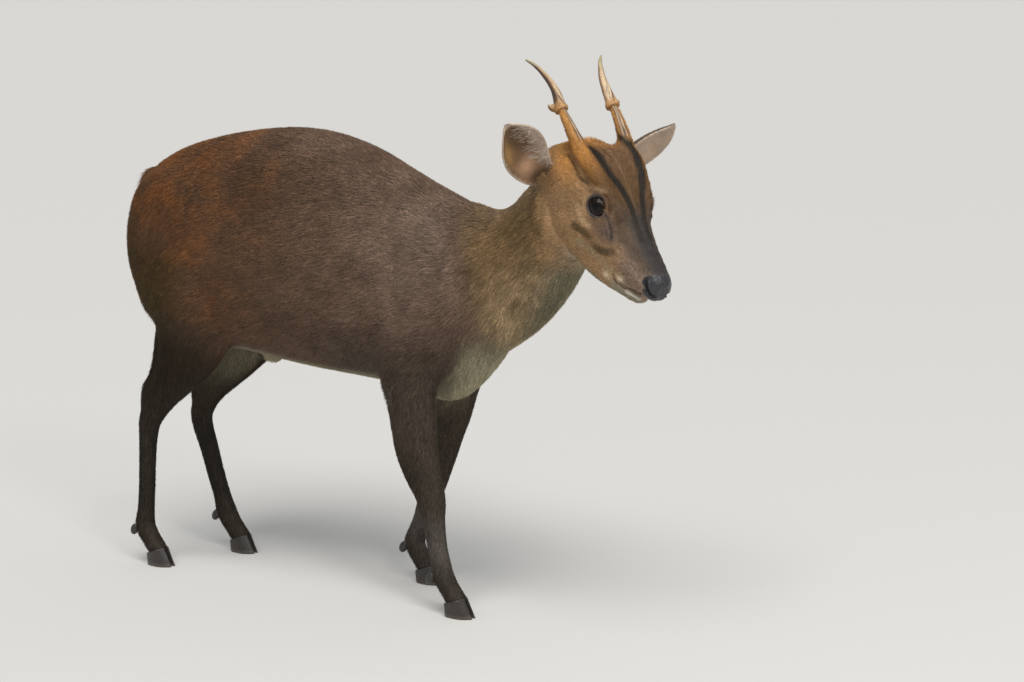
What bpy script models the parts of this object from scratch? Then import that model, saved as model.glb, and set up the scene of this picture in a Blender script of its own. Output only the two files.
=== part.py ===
"""A life-size muntjac buck, standing on four legs with its head lowered and turned to its right.

+X is forward, +Y is the animal's left and +Z is up, with the soles on z = 0. The surface is that
of the coat. The flesh is modelled whole from lofted tubes and rounded muscles, melted into one
skin, given its features, and then parted with thin cuts. Sizes are in metres.
"""

import math

import bmesh
import bpy
import numpy as np
from mathutils import Euler, Matrix, Vector
from mathutils.bvhtree import BVHTree

GAP = 0.0003                # what two touching pieces keep between them
VOXEL = 0.0032              # grid that melts the flesh into one skin
RING_SIDES = 28
FLESH_TRIANGLES = 5900

# The head's own frame: its x runs from the nape to the nose, z out of the forehead
HEAD_ORIGIN = Vector((0.335, -0.015, 0.540))
HEAD_YAW = math.radians(-24)
HEAD_PITCH = math.radians(32)
HEAD_ROLL = math.radians(2)
HEAD = Matrix.Translation(HEAD_ORIGIN) @ (
    Matrix.Rotation(HEAD_YAW, 4, "Z")
    @ Matrix.Rotation(HEAD_PITCH, 4, "Y")
    @ Matrix.Rotation(HEAD_ROLL, 4, "X"))

# Trunk sections: x, top, bottom, half width
TRUNK = [
    (-0.318, 0.458, 0.395, 0.026),
    (-0.306, 0.494, 0.350, 0.054),
    (-0.280, 0.518, 0.312, 0.074),
    (-0.240, 0.539, 0.292, 0.086),
    (-0.190, 0.553, 0.283, 0.093),
    (-0.140, 0.562, 0.281, 0.099),
    (-0.080, 0.568, 0.274, 0.103),
    (-0.020, 0.565, 0.268, 0.104),
    (0.040, 0.549, 0.264, 0.100),
    (0.090, 0.527, 0.259, 0.090),
    (0.130, 0.510, 0.249, 0.079),
    (0.170, 0.494, 0.246, 0.071),
    (0.205, 0.480, 0.272, 0.062),
    (0.235, 0.462, 0.310, 0.048),
    (0.252, 0.440, 0.350, 0.028),
]
# Neck sections: x, y, z of the middle, half width, half height up, half height down
NECK = [
    (0.130, 0.000, 0.385, 0.060, 0.100, 0.100),
    (0.166, 0.000, 0.392, 0.064, 0.104, 0.106),
    (0.207, 0.000, 0.402, 0.058, 0.090, 0.101),
    (0.245, -0.001, 0.413, 0.053, 0.074, 0.0865),
    (0.277, -0.004, 0.430, 0.050, 0.066, 0.0705),
    (0.303, -0.008, 0.453, 0.048, 0.060, 0.059),
    (0.326, -0.013, 0.478, 0.045, 0.058, 0.053),
    (0.345, -0.020, 0.498, 0.036, 0.046, 0.044),
]
# Skull and cheeks, in the head's frame: x, top, bottom, half width, height of the widest line
SKULL = [
    (-0.030, 0.006, -0.052, 0.026, -0.016),
    (-0.014, 0.021, -0.068, 0.0355, -0.014),
    (0.010, 0.037, -0.077, 0.0415, -0.008),
    (0.035, 0.0485, -0.079, 0.0440, 0.000),
    (0.060, 0.0545, -0.080, 0.0435, 0.006),
    (0.085, 0.049, -0.0785, 0.0390, 0.008),
    (0.105, 0.040, -0.075, 0.0345, 0.004),
    (0.125, 0.030, -0.067, 0.0296, -0.004),
    (0.142, 0.019, -0.050, 0.0240, -0.012),
]
MUZZLE = [
    (0.070, 0.043, -0.040, 0.0300, -0.004),
    (0.105, 0.038, -0.040, 0.0310, -0.006),
    (0.125, 0.0285, -0.040, 0.0288, -0.012),
    (0.145, 0.0190, -0.039, 0.0250, -0.018),
    (0.165, 0.0105, -0.0385, 0.0216, -0.021),
    (0.184, 0.0040, -0.0390, 0.0190, -0.022),
    (0.1985, -0.0010, -0.0390, 0.0173, -0.022),
    (0.2095, -0.0055, -0.0380, 0.0149, -0.021),
    (0.2157, -0.0110, -0.0335, 0.0095, -0.022),
]
JAW = [
    (0.075, -0.030, -0.0795, 0.0300, -0.050),
    (0.110, -0.032, -0.0785, 0.0265, -0.050),
    (0.135, -0.034, -0.0738, 0.0215, -0.050),
    (0.157, -0.0375, -0.0675, 0.0175, -0.050),
    (0.174, -0.0395, -0.0625, 0.0145, -0.050),
    (0.186, -0.0405, -0.0590, 0.0115, -0.0490),
    (0.193, -0.0430, -0.0545, 0.0070, -0.0490),
]

# Legs: x, y, z of the middle, half width, half depth; y is for the animal's left
HIND_TOP = [
    (-0.212, 0.046, 0.470, 0.030, 0.066),
    (-0.206, 0.050, 0.430, 0.040, 0.084),
    (-0.198, 0.054, 0.385, 0.046, 0.090),
]
HIND_RIGHT = HIND_TOP + [
    (-0.188, 0.060, 0.335, 0.042, 0.076),
    (-0.191, 0.062, 0.302, 0.035, 0.058),
    (-0.205, 0.063, 0.272, 0.0275, 0.043),
    (-0.223, 0.063, 0.247, 0.0210, 0.0315),
    (-0.240, 0.063, 0.226, 0.0170, 0.0240),
    (-0.255, 0.062, 0.207, 0.0150, 0.0200),
    (-0.2655, 0.061, 0.188, 0.0138, 0.0165),
    (-0.2695, 0.060, 0.168, 0.0122, 0.0135),
    (-0.2715, 0.060, 0.145, 0.0108, 0.0124),
    (-0.2745, 0.059, 0.105, 0.0105, 0.0120),
    (-0.2780, 0.058, 0.073, 0.0108, 0.0121),
    (-0.2800, 0.058, 0.050, 0.0125, 0.0145),
    (-0.2700, 0.058, 0.033, 0.0125, 0.0125),
    (-0.2500, 0.058, 0.008, 0.0125, 0.0130),
]
HIND_LEFT = HIND_TOP + [
    (-0.192, 0.058, 0.335, 0.042, 0.076),
    (-0.203, 0.059, 0.299, 0.035, 0.058),
    (-0.222, 0.059, 0.267, 0.0275, 0.043),
    (-0.242, 0.058, 0.240, 0.0210, 0.0315),
    (-0.259, 0.057, 0.219, 0.0170, 0.0240),
    (-0.272, 0.057, 0.200, 0.0150, 0.0200),
    (-0.2790, 0.056, 0.180, 0.0138, 0.0170),
    (-0.2765, 0.056, 0.160, 0.0125, 0.0150),
    (-0.2680, 0.056, 0.136, 0.0108, 0.0140),
    (-0.2560, 0.055, 0.101, 0.0105, 0.0130),
    (-0.2460, 0.055, 0.073, 0.0108, 0.0128),
    (-0.2390, 0.055, 0.052, 0.0125, 0.0148),
    (-0.2270, 0.055, 0.034, 0.0125, 0.0130),
    (-0.2050, 0.055, 0.008, 0.0125, 0.0135),
]
# The tendon and heel bone behind each hock
HEEL_RIGHT = [
    (-0.236, 0.061, 0.310, 0.016, 0.018),
    (-0.250, 0.062, 0.276, 0.0095, 0.0100),
    (-0.261, 0.062, 0.250, 0.0070, 0.0075),
    (-0.2695, 0.062, 0.232, 0.0085, 0.0085),
    (-0.2690, 0.061, 0.214, 0.0100, 0.0110),
    (-0.2680, 0.061, 0.196, 0.0110, 0.0110),
]
HEEL_LEFT = [
    (-0.250, 0.058, 0.300, 0.016, 0.018),
    (-0.266, 0.058, 0.268, 0.0095, 0.0100),
    (-0.278, 0.058, 0.242, 0.0070, 0.0075),
    (-0.2870, 0.057, 0.224, 0.0085, 0.0085),
    (-0.2860, 0.057, 0.206, 0.0100, 0.0110),
    (-0.2820, 0.056, 0.188, 0.0110, 0.0110),
]
FRONT_TOP = [
    (0.128, 0.046, 0.455, 0.022, 0.040),
    (0.150, 0.052, 0.405, 0.028, 0.050),
    (0.160, 0.055, 0.350, 0.030, 0.054),
    (0.142, 0.057, 0.310, 0.030, 0.050),
]
FRONT_RIGHT = FRONT_TOP + [
    (0.140, 0.059, 0.278, 0.028, 0.042),
    (0.143, 0.060, 0.250, 0.0255, 0.0345),
    (0.146, 0.060, 0.225, 0.0225, 0.0320),
    (0.150, 0.060, 0.197, 0.0195, 0.0300),
    (0.158, 0.060, 0.170, 0.0168, 0.0255),
    (0.167, 0.059, 0.146, 0.0150, 0.0205),
    (0.170, 0.058, 0.131, 0.0145, 0.0185),
    (0.172, 0.057, 0.112, 0.0120, 0.0152),
    (0.176, 0.056, 0.082, 0.0108, 0.0134),
    (0.181, 0.056, 0.060, 0.0115, 0.0135),
    (0.1835, 0.056, 0.049, 0.0125, 0.0142),
    (0.1930, 0.056, 0.033, 0.0125, 0.0125),
    (0.2120, 0.056, 0.008, 0.0125, 0.0130),
]
FRONT_LEFT = FRONT_TOP + [
    (0.130, 0.058, 0.278, 0.028, 0.042),
    (0.124, 0.058, 0.250, 0.0255, 0.0345),
    (0.118, 0.058, 0.223, 0.0225, 0.0310),
    (0.110, 0.057, 0.195, 0.0195, 0.0275),
    (0.104, 0.057, 0.168, 0.0168, 0.0235),
    (0.099, 0.056, 0.145, 0.0150, 0.0195),
    (0.094, 0.056, 0.128, 0.0145, 0.0175),
    (0.087, 0.055, 0.109, 0.0120, 0.0145),
    (0.077, 0.055, 0.080, 0.0108, 0.0128),
    (0.0690, 0.055, 0.061, 0.0115, 0.0135),
    (0.0655, 0.055, 0.049, 0.0125, 0.0142),
    (0.0740, 0.055, 0.033, 0.0125, 0.0125),
    (0.0925, 0.055, 0.008, 0.0125, 0.0130),
]
LEGS = {
    "front_right": (FRONT_RIGHT, -1),
    "front_left": (FRONT_LEFT, 1),
    "hind_right": (HIND_RIGHT, -1),
    "hind_left": (HIND_LEFT, 1),
}
# The two sides' domes that part a leg from the trunk: middle x, half x, shoulder height, top
LEG_DOME = {"front": (0.146, 0.064, 0.315, 0.405), "hind": (-0.205, 0.101, 0.345, 0.445)}
DOME_SKIRT = 0.232          # below this height the dome widens, clear of the trunk
DOME_SKIRT_SWELL = 0.070
DOME_INNER = 0.012
DOME_OUTER = 0.130

# Features, in the head's frame, for the animal's left
PEDICLE = [
    (0.060, 0.0275, 0.0400, 0.0125),
    (0.0400, 0.0312, 0.0520, 0.0102),
    (0.0165, 0.0338, 0.0625, 0.0085),
    (-0.0050, 0.0346, 0.0700, 0.0080),
    (-0.0160, 0.0350, 0.0735, 0.0076),
]
BROW_RIDGE = [
    (0.045, 0.0300, 0.0440, 0.0125),
    (0.070, 0.0295, 0.0440, 0.0112),
    (0.095, 0.0255, 0.0360, 0.0098),
    (0.118, 0.0200, 0.0255, 0.0080),
    (0.136, 0.0160, 0.0170, 0.0060),
]
BEAM = [
    (-0.0030, 0.0345, 0.0690, 0.0078),
    (-0.0070, 0.0347, 0.0705, 0.0084),
    (-0.0110, 0.0344, 0.0728, 0.0066),
    (-0.0221, 0.0338, 0.0786, 0.0052),
    (-0.0371, 0.0353, 0.0839, 0.0040),
    (-0.0503, 0.0393, 0.0879, 0.0030),
    (-0.0617, 0.0442, 0.0904, 0.0022),
    (-0.0714, 0.0508, 0.0917, 0.0010),
]
TINE = [
    (-0.0072, 0.0348, 0.0693, 0.0056),
    (-0.0090, 0.0398, 0.0682, 0.0048),
    (-0.0108, 0.0440, 0.0686, 0.0036),
    (-0.0125, 0.0474, 0.0701, 0.0012),
]
EYE = Vector((0.1010, 0.0258, 0.0140))
EYE_RADIUS = 0.0135
EYE_AXIS = Vector((0.34, 0.90, 0.27)).normalized()
EYE_ALONG = Vector((0.78, -0.16, -0.60))
LID_HALF_WIDTH = 0.0108
LID_HALF_HEIGHT = 0.0108
LID_THICKNESS = 0.0013
LID_FOOT = 0.5              # the lid dome's lowest height, as a share of its radius
EAR_ROOT = Vector((0.0076, 0.0465, -0.012))
EAR_AXIS = {-1: Vector((-0.083, 0.648, 0.757)).normalized(),
            1: Vector((0.010, 0.800, 0.600)).normalized()}
EAR_FACING = {-1: Vector((0.65, 0.00, 0.20)), 1: Vector((0.92, 0.33, -0.03))}
EAR_LENGTH = {-1: 0.0885, 1: 0.0955}
EAR_HALF_WIDTH = 0.0275
EAR_THICKNESS = 0.0022
EAR_DEPTH = 0.006
# Lines cut into the face: x, y, z, depth, half width
NOSTRIL = [
    (0.2135, 0.0088, -0.0165, 0.0030, 0.0014),
    (0.2105, 0.0132, -0.0165, 0.0052, 0.0026),
    (0.2065, 0.0158, -0.0205, 0.0040, 0.0016),
    (0.2035, 0.0158, -0.0250, 0.0016, 0.0008),
]
GLAND = [
    (0.1175, 0.0310, 0.0130, 0.0010, 0.0005),
    (0.1235, 0.0295, 0.0080, 0.0022, 0.0010),
    (0.1300, 0.0275, 0.0015, 0.0030, 0.0014),
    (0.1345, 0.0260, -0.0035, 0.0014, 0.0007),
]
MOUTH = [
    (0.157, 0.0240, -0.0365, 0.0014, 0.0006),
    (0.164, 0.0225, -0.0378, 0.0030, 0.0010),
    (0.180, 0.0185, -0.0390, 0.0030, 0.0009),
    (0.197, 0.0130, -0.0405, 0.0030, 0.0008),
    (0.205, 0.0060, -0.0400, 0.0028, 0.0008),
    (0.207, 0.0000, -0.0385, 0.0026, 0.0008),
]

# Tail, behind the rump: x, y, z, half width, half depth
TAIL = [
    (-0.288, 0.0, 0.492, 0.016, 0.014),
    (-0.308, 0.0, 0.475, 0.017, 0.012),
    (-0.319, 0.0, 0.447, 0.019, 0.010),
    (-0.323, 0.0, 0.410, 0.022, 0.009),
    (-0.318, 0.0, 0.372, 0.021, 0.008),
    (-0.308, 0.0, 0.338, 0.014, 0.007),
    (-0.300, 0.0, 0.318, 0.006, 0.004),
]
# Hooves: lengths are from the point where the leg's middle line meets the hair line
HOOF_TOP = 0.020
HOOF_TOE = 0.025
HOOF_HEEL = 0.011
HOOF_SLOPE = 0.50           # how far the toe recedes for each unit of height
HOOF_HALF_WIDTH = 0.0061
CLEFT = 0.0014
CUT_BLOCK = (0.2, 0.2, 0.2)
# Rounded muscles of the left side: middle, half sizes, tilt in degrees
MUSCLES = {
    "hip": ((-0.215, 0.050, 0.455), (0.080, 0.040, 0.066), 0),
    "flank": ((-0.090, 0.060, 0.380), (0.090, 0.042, 0.085), 0),
    "blade": ((0.142, 0.046, 0.415), (0.044, 0.030, 0.070), -16),
    "upper_arm": ((0.152, 0.052, 0.325), (0.058, 0.032, 0.046), 30),
}
# The same for the face, in the head's frame
FACE_MUSCLES = {
    "cheek": ((0.062, 0.0200, -0.030), (0.044, 0.0235, 0.036)),
    "orbit": ((0.099, 0.0245, 0.0185), (0.025, 0.0160, 0.0195)),
    "ear_base": ((-0.001, 0.0345, -0.009), (0.018, 0.016, 0.017)),
}


def material(name, colour, roughness):
    made = bpy.data.materials.get(name)
    if made is None:
        made = bpy.data.materials.new(name)
        made.use_nodes = True
        shader = made.node_tree.nodes["Principled BSDF"]
        shader.inputs["Base Color"].default_value = (*colour, 1.0)
        shader.inputs["Roughness"].default_value = roughness
        shader.inputs["Metallic"].default_value = 0.0
    return made


def new_object(name, mesh, group):
    made = bpy.data.objects.new(name, mesh)
    group.objects.link(made)
    return made


def even_rows(rows, per_span):
    """Catmull-Rom points through the rows, with per_span steps from each row to the next."""
    rows = np.array(rows, float)
    padded = np.vstack([2 * rows[0] - rows[1], rows, 2 * rows[-1] - rows[-2]])
    out = []
    for i in range(len(rows) - 1):
        a, b, c, d = padded[i:i + 4]
        for t in np.arange(per_span) / per_span:
            out.append(0.5 * (2 * b + (c - a) * t + (2 * a - 5 * b + 4 * c - d) * t ** 2
                              + (3 * b - a - 3 * c + d) * t ** 3))
    out.append(rows[-1])
    return out


def loft(name, rings, group):
    """A closed body through rings of points, each end closed by a fan on its middle."""
    bm = bmesh.new()
    loops = [[bm.verts.new(point) for point in ring] for ring in rings]
    count = len(loops[0])
    for low, high in zip(loops, loops[1:]):
        for i in range(count):
            j = (i + 1) % count
            bm.faces.new((low[i], low[j], high[j], high[i]))
    for loop in (loops[0], loops[-1]):
        hub = bm.verts.new(sum((v.co for v in loop), Vector()) / count)
        for i in range(count):
            bm.faces.new((loop[i], loop[(i + 1) % count], hub))
    bmesh.ops.recalc_face_normals(bm, faces=bm.faces)
    mesh = bpy.data.meshes.new(name)
    bm.to_mesh(mesh)
    bm.free()
    return new_object(name, mesh, group)


def oval(centre, side, up, half_side, half_up, half_down, sides=RING_SIDES, power=2.0):
    """Points of a rounded section, with its own height above and below the widest line."""
    points = []
    for i in range(sides):
        angle = math.tau * i / sides
        c, s = math.cos(angle), math.sin(angle)
        x = math.copysign(abs(c) ** (2 / power), c) * half_side
        y = math.copysign(abs(s) ** (2 / power), s) * (half_up if s > 0 else half_down)
        points.append(centre + side * x + up * y)
    return points


def upright_tube(name, rows, group, place=Matrix.Identity(4), power=2.15):
    """A tube along x from rows of x, top, bottom, half width and, if given, the widest height."""
    rings = []
    turn = place.to_3x3()
    for row in even_rows(rows, 3):
        x, top, bottom, half = row[:4]
        wide = row[4] if len(row) > 4 else bottom + 0.44 * (top - bottom)
        rings.append(oval(place @ Vector((x, 0, wide)), turn @ Vector((0, 1, 0)),
                          turn @ Vector((0, 0, 1)), half, top - wide, wide - bottom, power=power))
    return loft(name, rings, group)


def bent_tube(name, rows, group, side=Vector((0, 1, 0)), sides=RING_SIDES, per_span=3,
              place=Matrix.Identity(4)):
    """A tube along x, y, z with a radius, or half width and half depth, or up and down too."""
    rows = even_rows(rows, per_span)
    centres = [place @ Vector(row[:3]) for row in rows]
    rings = []
    for i, (row, centre) in enumerate(zip(rows, centres)):
        along = (centres[min(i + 1, len(rows) - 1)] - centres[max(i - 1, 0)]).normalized()
        up = along.cross(side).normalized()
        across = up.cross(along).normalized()
        sizes = list(row[3:]) + [row[-1]] * (6 - len(row))
        rings.append(oval(centre, across, up, *sizes, sides=sides))
    return loft(name, rings, group)


def ball(name, centre, radii, group, place=Matrix.Identity(4), segments=32, rings=20, turn=(0, 0, 0)):
    bm = bmesh.new()
    bmesh.ops.create_uvsphere(bm, u_segments=segments, v_segments=rings, radius=1.0)
    shape = place @ Matrix.Translation(centre) @ Euler(turn).to_matrix().to_4x4()
    bmesh.ops.transform(bm, matrix=shape @ Matrix.Diagonal((*radii, 1.0)), verts=bm.verts)
    mesh = bpy.data.meshes.new(name)
    bm.to_mesh(mesh)
    bm.free()
    return new_object(name, mesh, group)


def mirrored(point, sign):
    return Vector((point[0], point[1] * sign, point[2]))


def sided(rows, sign):
    return [(row[0], row[1] * sign, *row[2:]) for row in rows]


def flesh_pieces(group):
    """Every lofted tube and rounded muscle that melts into the skin."""
    pieces = [
        upright_tube("trunk", TRUNK, group),
        bent_tube("neck_core", NECK, group),
        upright_tube("skull", SKULL, group, HEAD, power=2.3),
        upright_tube("muzzle", MUZZLE, group, HEAD, power=2.4),
        upright_tube("jaw", JAW, group, HEAD, power=2.3),
        ball("sheath", (-0.112, 0, 0.276), (0.022, 0.010, 0.011), group),
        ball("tail_head", (-0.288, 0, 0.492), (0.030, 0.026, 0.022), group),
    ]
    for name, (rows, sign) in LEGS.items():
        pieces.append(bent_tube("leg_core_" + name, sided(rows, sign), group))
    pieces += [
        bent_tube("heel", sided(HEEL_RIGHT, -1), group, sides=16),
        bent_tube("heel", sided(HEEL_LEFT, 1), group, sides=16),
    ]
    for sign in (-1, 1):
        for name, (middle, radii, tilt) in MUSCLES.items():
            pieces.append(ball(name, mirrored(middle, sign), radii, group,
                               turn=(0, math.radians(tilt), 0)))
        for name, (middle, radii) in FACE_MUSCLES.items():
            pieces.append(ball(name, mirrored(middle, sign), radii, group, HEAD))
        pieces += [
            bent_tube("pedicle", sided(PEDICLE, sign), group, sides=16, place=HEAD),
            bent_tube("ridge", sided(BROW_RIDGE, sign), group, sides=16, place=HEAD),
        ]
    return pieces


def evaluated_mesh(thing):
    graph = bpy.context.evaluated_depsgraph_get()
    return bpy.data.meshes.new_from_object(thing.evaluated_get(graph))


def apply_modifiers(thing):
    mesh = evaluated_mesh(thing)
    thing.modifiers.clear()
    thing.data = mesh


def join(pieces, name, group):
    bm = bmesh.new()
    for piece in pieces:
        bm.from_mesh(piece.data)
        bpy.data.objects.remove(piece)
    mesh = bpy.data.meshes.new(name)
    bm.to_mesh(mesh)
    bm.free()
    return new_object(name, mesh, group)


def points_of(thing):
    flat = np.empty(len(thing.data.vertices) * 3)
    thing.data.vertices.foreach_get("co", flat)
    return flat.reshape(-1, 3)


def normals_of(thing):
    return np.array([v.normal[:] for v in thing.data.vertices])


def set_points(thing, points):
    thing.data.vertices.foreach_set("co", points.ravel())
    thing.data.update()


def smooth_step(value, low, high):
    t = np.clip((value - low) / (high - low), 0.0, 1.0)
    return t * t * (3 - 2 * t)


def relax(thing, strength, rounds):
    """Each point moves towards its neighbours' middle by its own strength, rounds times."""
    count = len(thing.data.vertices)
    pairs = np.empty(len(thing.data.edges) * 2, int)
    thing.data.edges.foreach_get("vertices", pairs)
    a, b = pairs.reshape(-1, 2).T
    ends = np.concatenate([a, b])
    others = np.concatenate([b, a])
    degree = np.bincount(ends, minlength=count)[:, None]
    points = points_of(thing)
    for _ in range(rounds):
        total = np.stack([np.bincount(ends, points[others, k], count) for k in range(3)], 1)
        points += strength[:, None] * (total / degree - points)
    set_points(thing, points)


def head_frame(points):
    """World points in the head's frame."""
    back = np.array(HEAD.inverted())
    return points @ back[:3, :3].T + back[:3, 3]


def world_frame(points):
    there = np.array(HEAD)
    return points @ there[:3, :3].T + there[:3, 3]


def blend_strength(points):
    """How much each part of the flesh melts: most at the joins, least on legs and antler bases."""
    local = head_frame(points)
    leg = smooth_step(points[:, 2], 0.20, 0.30)
    head = 1 - smooth_step(local[:, 0], -0.03, 0.03) * smooth_step(local[:, 2], -0.12, -0.09)
    return 0.5 * np.minimum(0.10 + 0.90 * leg, 0.16 + 0.84 * head)


def cover_eyes(thing):
    """A lid dome over each eyeball, which the opening is cut from later."""
    points = points_of(thing)
    local = head_frame(points)
    facing_out = normals_of(thing) @ np.array(HEAD.to_3x3())
    for sign in (-1, 1):
        axis = np.array(mirrored(EYE_AXIS, sign))
        offset = local - np.array(mirrored(EYE, sign))
        out = offset @ axis
        across = np.linalg.norm(offset - out[:, None] * axis, axis=1)
        dome_radius = EYE_RADIUS + GAP + LID_THICKNESS
        wanted = np.sqrt(np.maximum(dome_radius ** 2 - across ** 2, (LID_FOOT * dome_radius) ** 2))
        cover = 1 - smooth_step(across, LID_HALF_WIDTH, LID_HALF_WIDTH * 1.5)
        cover *= smooth_step(facing_out @ axis, 0.0, 0.35) * (out > -0.004)
        local += (cover * (wanted - out))[:, None] * axis
    set_points(thing, world_frame(local))


def eye_frame(sign):
    """The eye's own axes: along the opening, across it and straight out, in the world."""
    out = mirrored(EYE_AXIS, sign)
    along = mirrored(EYE_ALONG, sign)
    along = (along - out * along.dot(out)).normalized()
    turn = HEAD.to_3x3()
    return turn @ along, turn @ out.cross(along), turn @ out


def lid_cutter(sign, group):
    """An almond prism along the eye's axis, which opens the lids."""
    along, across, out = eye_frame(sign)
    centre = HEAD @ mirrored(EYE, sign)
    rings = []
    for reach, spread in ((0.10, 1.0), (0.75, 1.0), (1.05, 1.04), (1.9, 1.5)):
        ring = []
        for k in range(28):
            angle = math.tau * k / 28
            c, s = math.cos(angle), math.sin(angle)
            u = LID_HALF_WIDTH * spread * c * (1 + 0.15 * max(c, 0) ** 6)
            v = LID_HALF_HEIGHT * spread * s * (1 - 0.10 * c * c)
            ring.append(centre + out * (reach * EYE_RADIUS) + along * u + across * v)
        rings.append(ring)
    return loft("lid_opening", rings, group)


def line_cutter(name, line, tree, group):
    """A thin blade that follows a line on the skin: each row has its depth and half width."""
    rows = even_rows(line, 3)
    centres, normals = [], []
    for row in rows:
        place, normal, _, _ = tree.find_nearest(HEAD @ Vector(row[:3]))
        centres.append(place)
        normals.append(normal)
    rings = []
    for i, (row, centre) in enumerate(zip(rows, centres)):
        around = range(max(i - 2, 0), min(i + 3, len(rows)))
        normal = sum((normals[k] for k in around), Vector()).normalized()
        along = (centres[min(i + 1, len(rows) - 1)] - centres[max(i - 1, 0)]).normalized()
        across = along.cross(normal).normalized()
        rings.append(oval(centre, normal, across, row[3], row[4], row[4], sides=8))
    return loft(name, rings, group)


def cut_face(head, cutters):
    """Eye sockets, lid openings, tear glands, nostrils and the line of the mouth."""
    tree = BVHTree.FromPolygons([v.co for v in head.data.vertices],
                                [p.vertices for p in head.data.polygons])
    blades = []
    for sign in (-1, 1):
        centre = HEAD @ mirrored(EYE, sign)
        blades.append(ball("socket", centre, (EYE_RADIUS + GAP,) * 3, cutters, segments=24, rings=14))
        blades.append(lid_cutter(sign, cutters))
        blades.append(line_cutter("gland", sided(GLAND, sign), tree, cutters))
        blades.append(line_cutter("nostril", sided(NOSTRIL, sign), tree, cutters))
    mouth = sided(MOUTH, -1) + sided(MOUTH, 1)[-2::-1]
    blades.append(line_cutter("mouth", mouth, tree, cutters))
    for blade in blades:
        boolean(head, blade, "DIFFERENCE")


def refine(thing, chosen):
    """Quarters the faces whose middle the chosen test accepts."""
    bm = bmesh.new()
    bm.from_mesh(thing.data)
    middles = np.array([f.calc_center_median()[:] for f in bm.faces])
    keep = chosen(middles)
    edges = {edge for face, take in zip(bm.faces, keep) if take for edge in face.edges}
    bmesh.ops.subdivide_edges(bm, edges=list(edges), cuts=1, use_grid_fill=True)
    bm.to_mesh(thing.data)
    bm.free()


def on_head(points):
    local = head_frame(points)
    return (local[:, 0] > 0.03) & (points[:, 0] > 0.33) & (local[:, 2] > -0.10)


def melt(group, voxel):
    """The whole flesh as one smooth skin with its features."""
    body = join(flesh_pieces(group), "flesh", group)
    remesh = body.modifiers.new("melt", "REMESH")
    remesh.mode = "VOXEL"
    remesh.voxel_size = voxel
    apply_modifiers(body)
    relax(body, blend_strength(points_of(body)), 24)
    refine(body, on_head)
    relax(body, 0.3 * on_head(points_of(body)), 3)
    cover_eyes(body)
    return body


def triangulate(thing):
    bm = bmesh.new()
    bm.from_mesh(thing.data)
    bmesh.ops.triangulate(bm, faces=bm.faces)
    bm.to_mesh(thing.data)
    bm.free()


def thin_out(thing, triangles):
    """Fewer triangles, kept denser on the face than on the trunk."""
    triangulate(thing)
    points = points_of(thing)
    local = head_frame(points)
    head = smooth_step(local[:, 0], 0.0, 0.05) * smooth_step(points[:, 0], 0.30, 0.34)
    folded = local * [1, 0, 1] + np.abs(local) * [0, 1, 0]
    eye = np.exp(-(np.linalg.norm(folded - np.array(EYE), axis=1) / 0.022) ** 2)
    nose = smooth_step(local[:, 0], 0.15, 0.185) * head
    leg = 1 - smooth_step(points[:, 2], 0.12, 0.26)
    weight = np.clip(0.90 - 0.14 * head - 0.30 * leg - 0.50 * np.maximum(eye, nose), 0.02, 1)
    chosen = thing.vertex_groups.new(name="coarse")
    for index, value in enumerate(weight):
        chosen.add([index], float(value), "REPLACE")
    thinner = thing.modifiers.new("thin", "DECIMATE")
    thinner.ratio = triangles / len(thing.data.polygons)
    thinner.vertex_group = chosen.name
    thinner.vertex_group_factor = 1.0
    thinner.use_collapse_triangulate = True
    apply_modifiers(thing)
    thing.vertex_groups.clear()


def boolean(thing, cutter, operation, solver="EXACT"):
    cut = thing.modifiers.new("cut", "BOOLEAN")
    cut.operation = operation
    cut.solver = solver
    cut.object = cutter
    apply_modifiers(thing)


def keep_largest(thing):
    """Drops every loose scrap and keeps the largest closed surface."""
    bm = bmesh.new()
    bm.from_mesh(thing.data)
    bmesh.ops.remove_doubles(bm, verts=bm.verts, dist=0.000001)
    bmesh.ops.dissolve_degenerate(bm, edges=bm.edges, dist=0.00001)
    bmesh.ops.triangulate(bm, faces=bm.faces)
    bm.verts.ensure_lookup_table()
    seen = set()
    shells = []
    for start in bm.verts:
        if start in seen:
            continue
        shell = [start]
        seen.add(start)
        for vert in shell:
            for edge in vert.link_edges:
                other = edge.other_vert(vert)
                if other not in seen:
                    seen.add(other)
                    shell.append(other)
        shells.append(shell)
    shells.sort(key=len)
    loose = [v for shell in shells[:-1] for v in shell]
    bmesh.ops.delete(bm, geom=loose, context="VERTS")
    bm.to_mesh(thing.data)
    bm.free()


def copy_of(thing, name, group):
    return new_object(name, thing.data.copy(), group)


def swollen(thing, amount, name, group):
    """A copy pushed out along its normals, to trim what grows from the surface."""
    made = copy_of(thing, name, group)
    set_points(made, points_of(made) + normals_of(made) * amount)
    return made


def slab(name, place, size, group):
    """A box whose lowest face lies on the place's own xy plane, reaching up its z."""
    bm = bmesh.new()
    bmesh.ops.create_cube(bm, size=1.0)
    shape = place @ Matrix.Translation((0, 0, size[2] / 2)) @ Matrix.Diagonal((*size, 1.0))
    bmesh.ops.transform(bm, matrix=shape, verts=bm.verts)
    mesh = bpy.data.meshes.new(name)
    bm.to_mesh(mesh)
    bm.free()
    return new_object(name, mesh, group)


def facing(point, direction):
    """A frame at the point whose z runs along the direction."""
    return Matrix.Translation(point) @ direction.to_track_quat("Z", "Y").to_matrix().to_4x4()


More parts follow.
